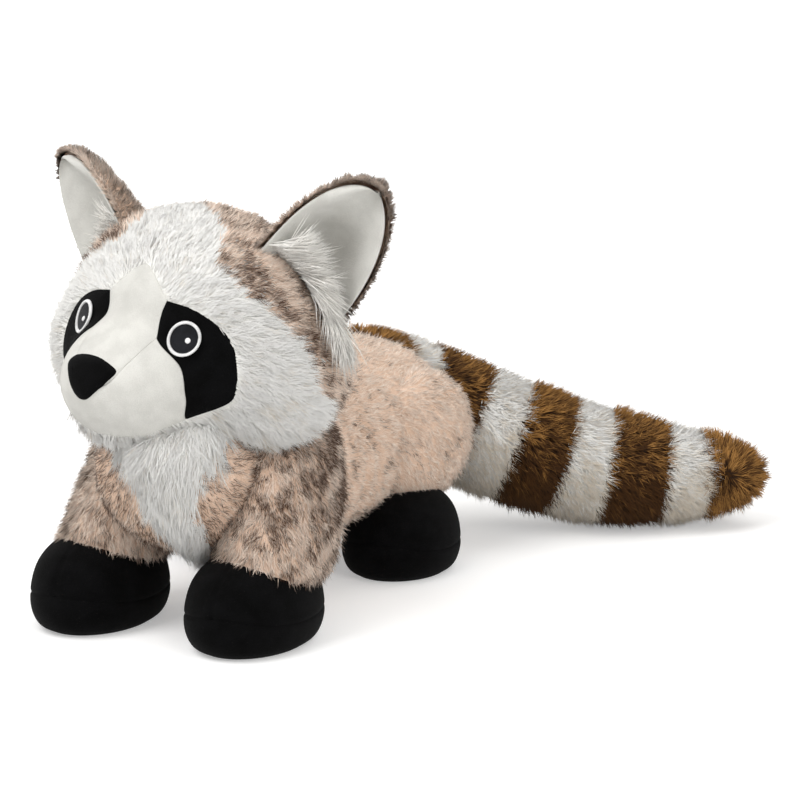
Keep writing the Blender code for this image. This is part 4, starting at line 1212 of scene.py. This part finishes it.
# %% Grow the pile of the ears
EAR_ROOTS, RIM_ROOTS = 11000, 4500
for side, name in SIDES:
    rng = np.random.default_rng(71 + side)
    count = EAR_ROOTS
    rim = np.arange(count) < RIM_ROOTS
    s, t = rng.uniform(-1, 1, count), rng.uniform(0, 1, count)
    t = np.where(rim, 1.15 * (1.0 - (1.0 - t) ** 2), 1.15 * t) - 0.15
    s = np.where(rim, np.sign(s) * rng.uniform(0.95, 1.0, count), s)
    lift = back_lift(s, t) + np.where(rim, rng.uniform(0.0, 0.0012, count), 0.0)
    here = ear_leaf(side, s, t, EAR_EDGE, lift)
    _, _, rise, out = ear_axes(side)
    middle = ear_leaf(side, 0 * s, 0.35 + 0 * t, 0.0, 0 * s)
    lay = unit(here - middle) + 0.3 * rise
    outward = unit(-out + np.where(rim, 1.2, 0.15)[:, None] * unit(here - middle))
    roots = to_toy(here)
    keep = ~in_head(roots, -0.001)
    if side == RIGHT:
        keep &= ~(rim & (s > 0) & (t < 0.93))
    dark = np.where(rim, 0.50 + 0.25 * s, 0.34 + 0.25 * ripple(roots, 0.014, 14))
    long = np.where(rim, 0.0036 - 0.0008 * s, 0.0050)
    grow_pile("ear_pile_" + name, roots[keep], (outward @ HEAD_AXES.T)[keep],
              (lay @ HEAD_AXES.T)[keep], tan_pile, long[keep], 0.00023, 0.4,
              clump=0.0032, tips=dark[keep], fleck=(1.3, 1.3, 0.5), seed=73 + side)

# %% [markdown]
# A tuft of long white pile is caught in the seam at the root of each ear. Its strands are bent, so
# each has three sections: the first leans out of the hollow, the last lies along the lining.

# %% Grow the tufts in the ears
WISP_RINGS, WISP_LOCKS = 3, 90
WISPS = {LEFT: (2100, 1.0), RIGHT: (700, 0.6)}      # how many, and how long beside the left's


def grow_wisps(name, start, first, last, length, seed):
    """Bent tapering strands: start + length * (u * first + u^2 * (last - first) / 2), u in 0..1."""
    rng = np.random.default_rng(seed)
    count = len(start)
    u = np.linspace(0, 1, WISP_RINGS + 1)[None, :, None]
    line = start[:, None] + length[:, None, None] * (u * first[:, None]
                                                    + 0.5 * u ** 2 * (last - first)[:, None])
    way = unit(last)
    one = unit(np.cross(way, (0.3, -0.8, 0.5)))
    two = np.cross(way, one)
    turn = 2 * math.pi / 3 * np.arange(3)
    spokes = np.cos(turn)[:, None] * one[:, None] + np.sin(turn)[:, None] * two[:, None]
    taper = 0.00028 * (1.0 - u[:, :-1] ** 2)
    rings = line[:, :-1, None] + taper[..., None] * spokes[:, None]
    points = np.concatenate([rings.reshape(count, -1, 3), line[:, -1:]], 1)
    faces = []
    for ring in range(WISP_RINGS - 1):
        for k in range(3):
            a, b = 3 * ring + k, 3 * ring + (k + 1) % 3
            faces += [(a, b, b + 3), (a, b + 3, a + 3)]
    last_ring = 3 * (WISP_RINGS - 1)
    faces += [(last_ring + k, last_ring + (k + 1) % 3, 3 * WISP_RINGS) for k in range(3)]
    per = points.shape[1]
    faces = per * np.arange(count)[:, None, None] + np.array(faces)
    thing = fill_mesh(name, points.reshape(-1, 3), faces.reshape(-1, 3))
    share = np.append(np.repeat(u[0, :-1, 0], 3), 1.0)
    values = np.stack([np.tile(share, count), np.repeat(rng.random(count), per),
                       np.full(per * count, 0.2), np.ones(per * count)], 1)
    paint(thing, "strand", values)
    print(name, "strands:", count)
    return dress(thing, white_pile)


for side, name in SIDES:
    rng = np.random.default_rng(81 + side)
    count, size = WISPS[side]
    tuft = rng.integers(0, WISP_LOCKS, count)
    spot = rng.uniform(-0.85, 1.0, WISP_LOCKS)[tuft]
    bend = rng.random((WISP_LOCKS, 3))[tuft]
    _, down, rise, out = ear_axes(side)
    s = np.clip(spot + 0.05 * rng.normal(size=count), -0.95, 1.0)
    t = 0.03 + 0.05 * rng.random(count)
    start = ear_leaf(side, s, t, EAR_RIM, 0.010 * (1.0 - s ** 2) + 0.001)
    lean = (0.5 + 0.5 * spot)[:, None]
    aside = (bend[:, :1] - 0.5) * down
    first = 0.8 * out + (0.9 - 0.6 * lean) * rise + 0.4 * lean * down + 0.5 * aside
    last = (0.9 - 1.0 * lean) * rise + (0.2 + 0.5 * lean) * down + 0.9 * aside
    last = last + lean ** 2 * np.array((0.0, -0.35, -0.9)) - 0.1 * out
    noise = 0.10 * rng.normal(size=(2, count, 3))
    length = size * (0.016 + 0.012 * bend[:, 1] + 0.006 * lean[:, 0]
                     + 0.003 * rng.normal(size=count))
    grow_wisps("ear_tuft_" + name, to_toy(start), unit(first + noise[0]) @ HEAD_AXES.T,
               unit(last + noise[1]) @ HEAD_AXES.T, length, 83 + side)

# %% [markdown]
# The floor is a plain pale sheet. Seen directly it is white, and it keeps the toy's shadow. The
# world gives a soft light from all round, and to the camera it is plain white.

# %% Set the stage
def is_seen(tree):
    """A value of 1 for rays that show the background itself: from the eye, a mirror or glass."""
    path = add_node(tree, "LightPath")
    first = add_node(tree, "Math", [(path.outputs["Is Camera Ray"], 0),
                                    (path.outputs["Is Glossy Ray"], 1)], operation="MAXIMUM")
    both = add_node(tree, "Math", [(first.outputs[0], 0), (path.outputs["Is Transmission Ray"], 1)],
                    operation="MAXIMUM")
    return both.outputs[0]


floor_mesh = bpy.data.meshes.new("floor")
floor_mesh.from_pydata([(-4, -4, 0), (4, -4, 0), (4, 4, 0), (-4, 4, 0)], [], [(0, 1, 2, 3)])
floor = bpy.data.objects.new("floor", floor_mesh)
bpy.context.scene.collection.objects.link(floor)
pale, tree, shader = new_material("pale_floor")
shader.inputs["Base Color"].default_value = (0.78, 0.78, 0.78, 1)
shader.inputs["Roughness"].default_value = 0.9
shader.inputs["Emission Color"].default_value = (1, 1, 1, 1)
place = add_node(tree, "TexCoord").outputs["Object"]
far = add_node(tree, "VectorMath", [(place, 0)], operation="LENGTH")
strength = spread(tree, far.outputs["Value"], 0.3, 0.9, 0.36, 1.0)
glow = add_node(tree, "Math", [(is_seen(tree), 0), (strength, 1)], operation="MULTIPLY")
tree.links.new(glow.outputs[0], shader.inputs["Emission Strength"])
floor_mesh.materials.append(pale)
floor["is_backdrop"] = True

world = bpy.data.worlds.new("soft_room")
bpy.context.scene.world = world
world.use_nodes = True
tree = world.node_tree
ground = tree.nodes["Background"]
tree.links.new(mix_colour(tree, is_seen(tree), (0.59, 0.58, 0.56, 1.0), (1.0, 1.0, 1.0, 1.0)),
               ground.inputs["Color"])

# %% [markdown]
# The camera stands where the photograph was taken from: 27 degrees to the toy's left of straight
# ahead, 12 degrees up and 1.5 metres away, with a long lens.

# %% Place the camera
VIEW_TURN, VIEW_RISE, VIEW_DISTANCE = math.radians(27), math.radians(12), 1.5
VIEW_TARGET = np.array((0.031, 0.170, 0.0795)) + SHIFT
IMAGE_SIDE, SENSOR, FOCUS_PIXELS = 800, 36.0, 3000.0

right = np.array((math.cos(VIEW_TURN), math.sin(VIEW_TURN), 0.0))
back = np.array((math.sin(VIEW_TURN) * math.cos(VIEW_RISE),
                 -math.cos(VIEW_TURN) * math.cos(VIEW_RISE), math.sin(VIEW_RISE)))
up = np.cross(back, right)
lens = bpy.data.cameras.new("camera")
lens.sensor_width = SENSOR
lens.lens = FOCUS_PIXELS / IMAGE_SIDE * SENSOR
camera = bpy.data.objects.new("camera", lens)
bpy.context.scene.collection.objects.link(camera)
camera.location = VIEW_TARGET + back * VIEW_DISTANCE
camera.rotation_euler = Matrix(np.stack([right, up, back], 1)).to_euler()
bpy.context.scene.camera = camera

# %% [markdown]
# Three large lamps light the toy: the key from the upper left, a weaker fill from the right, and
# one from above and behind that draws the pile's edge. The colours are shown as they are.

# %% Hang the lamps
def lamp(name, place, size, power):
    """A square lamp that looks at the middle of the toy."""
    light = bpy.data.lights.new(name, "AREA")
    light.size = size
    light.energy = power
    thing = bpy.data.objects.new(name, light)
    bpy.context.scene.collection.objects.link(thing)
    thing.location = place
    way = unit(np.array(place) - (0.0, 0.0, 0.08))
    side = unit(np.cross((0.0, 0.0, 1.0), way))
    thing.rotation_euler = Matrix(np.stack([side, np.cross(way, side), way], 1)).to_euler()


lamp("key", (-0.6, -1.15, 1.85), 1.4, 30.0)
lamp("fill", (1.7, -0.9, 1.1), 1.2, 12.5)
lamp("top", (0.2, 0.9, 1.9), 1.5, 9.0)
bpy.context.scene.view_settings.view_transform = "Standard"

# %% [markdown]
# At the end the boxes of the imported model and of the visible pieces are printed, in metres.

# %% Print the two boxes
size = {"cad": [list(corner) for corner in cad_box],
        "visual": [list(corner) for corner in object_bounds()]}
print("size:", size)
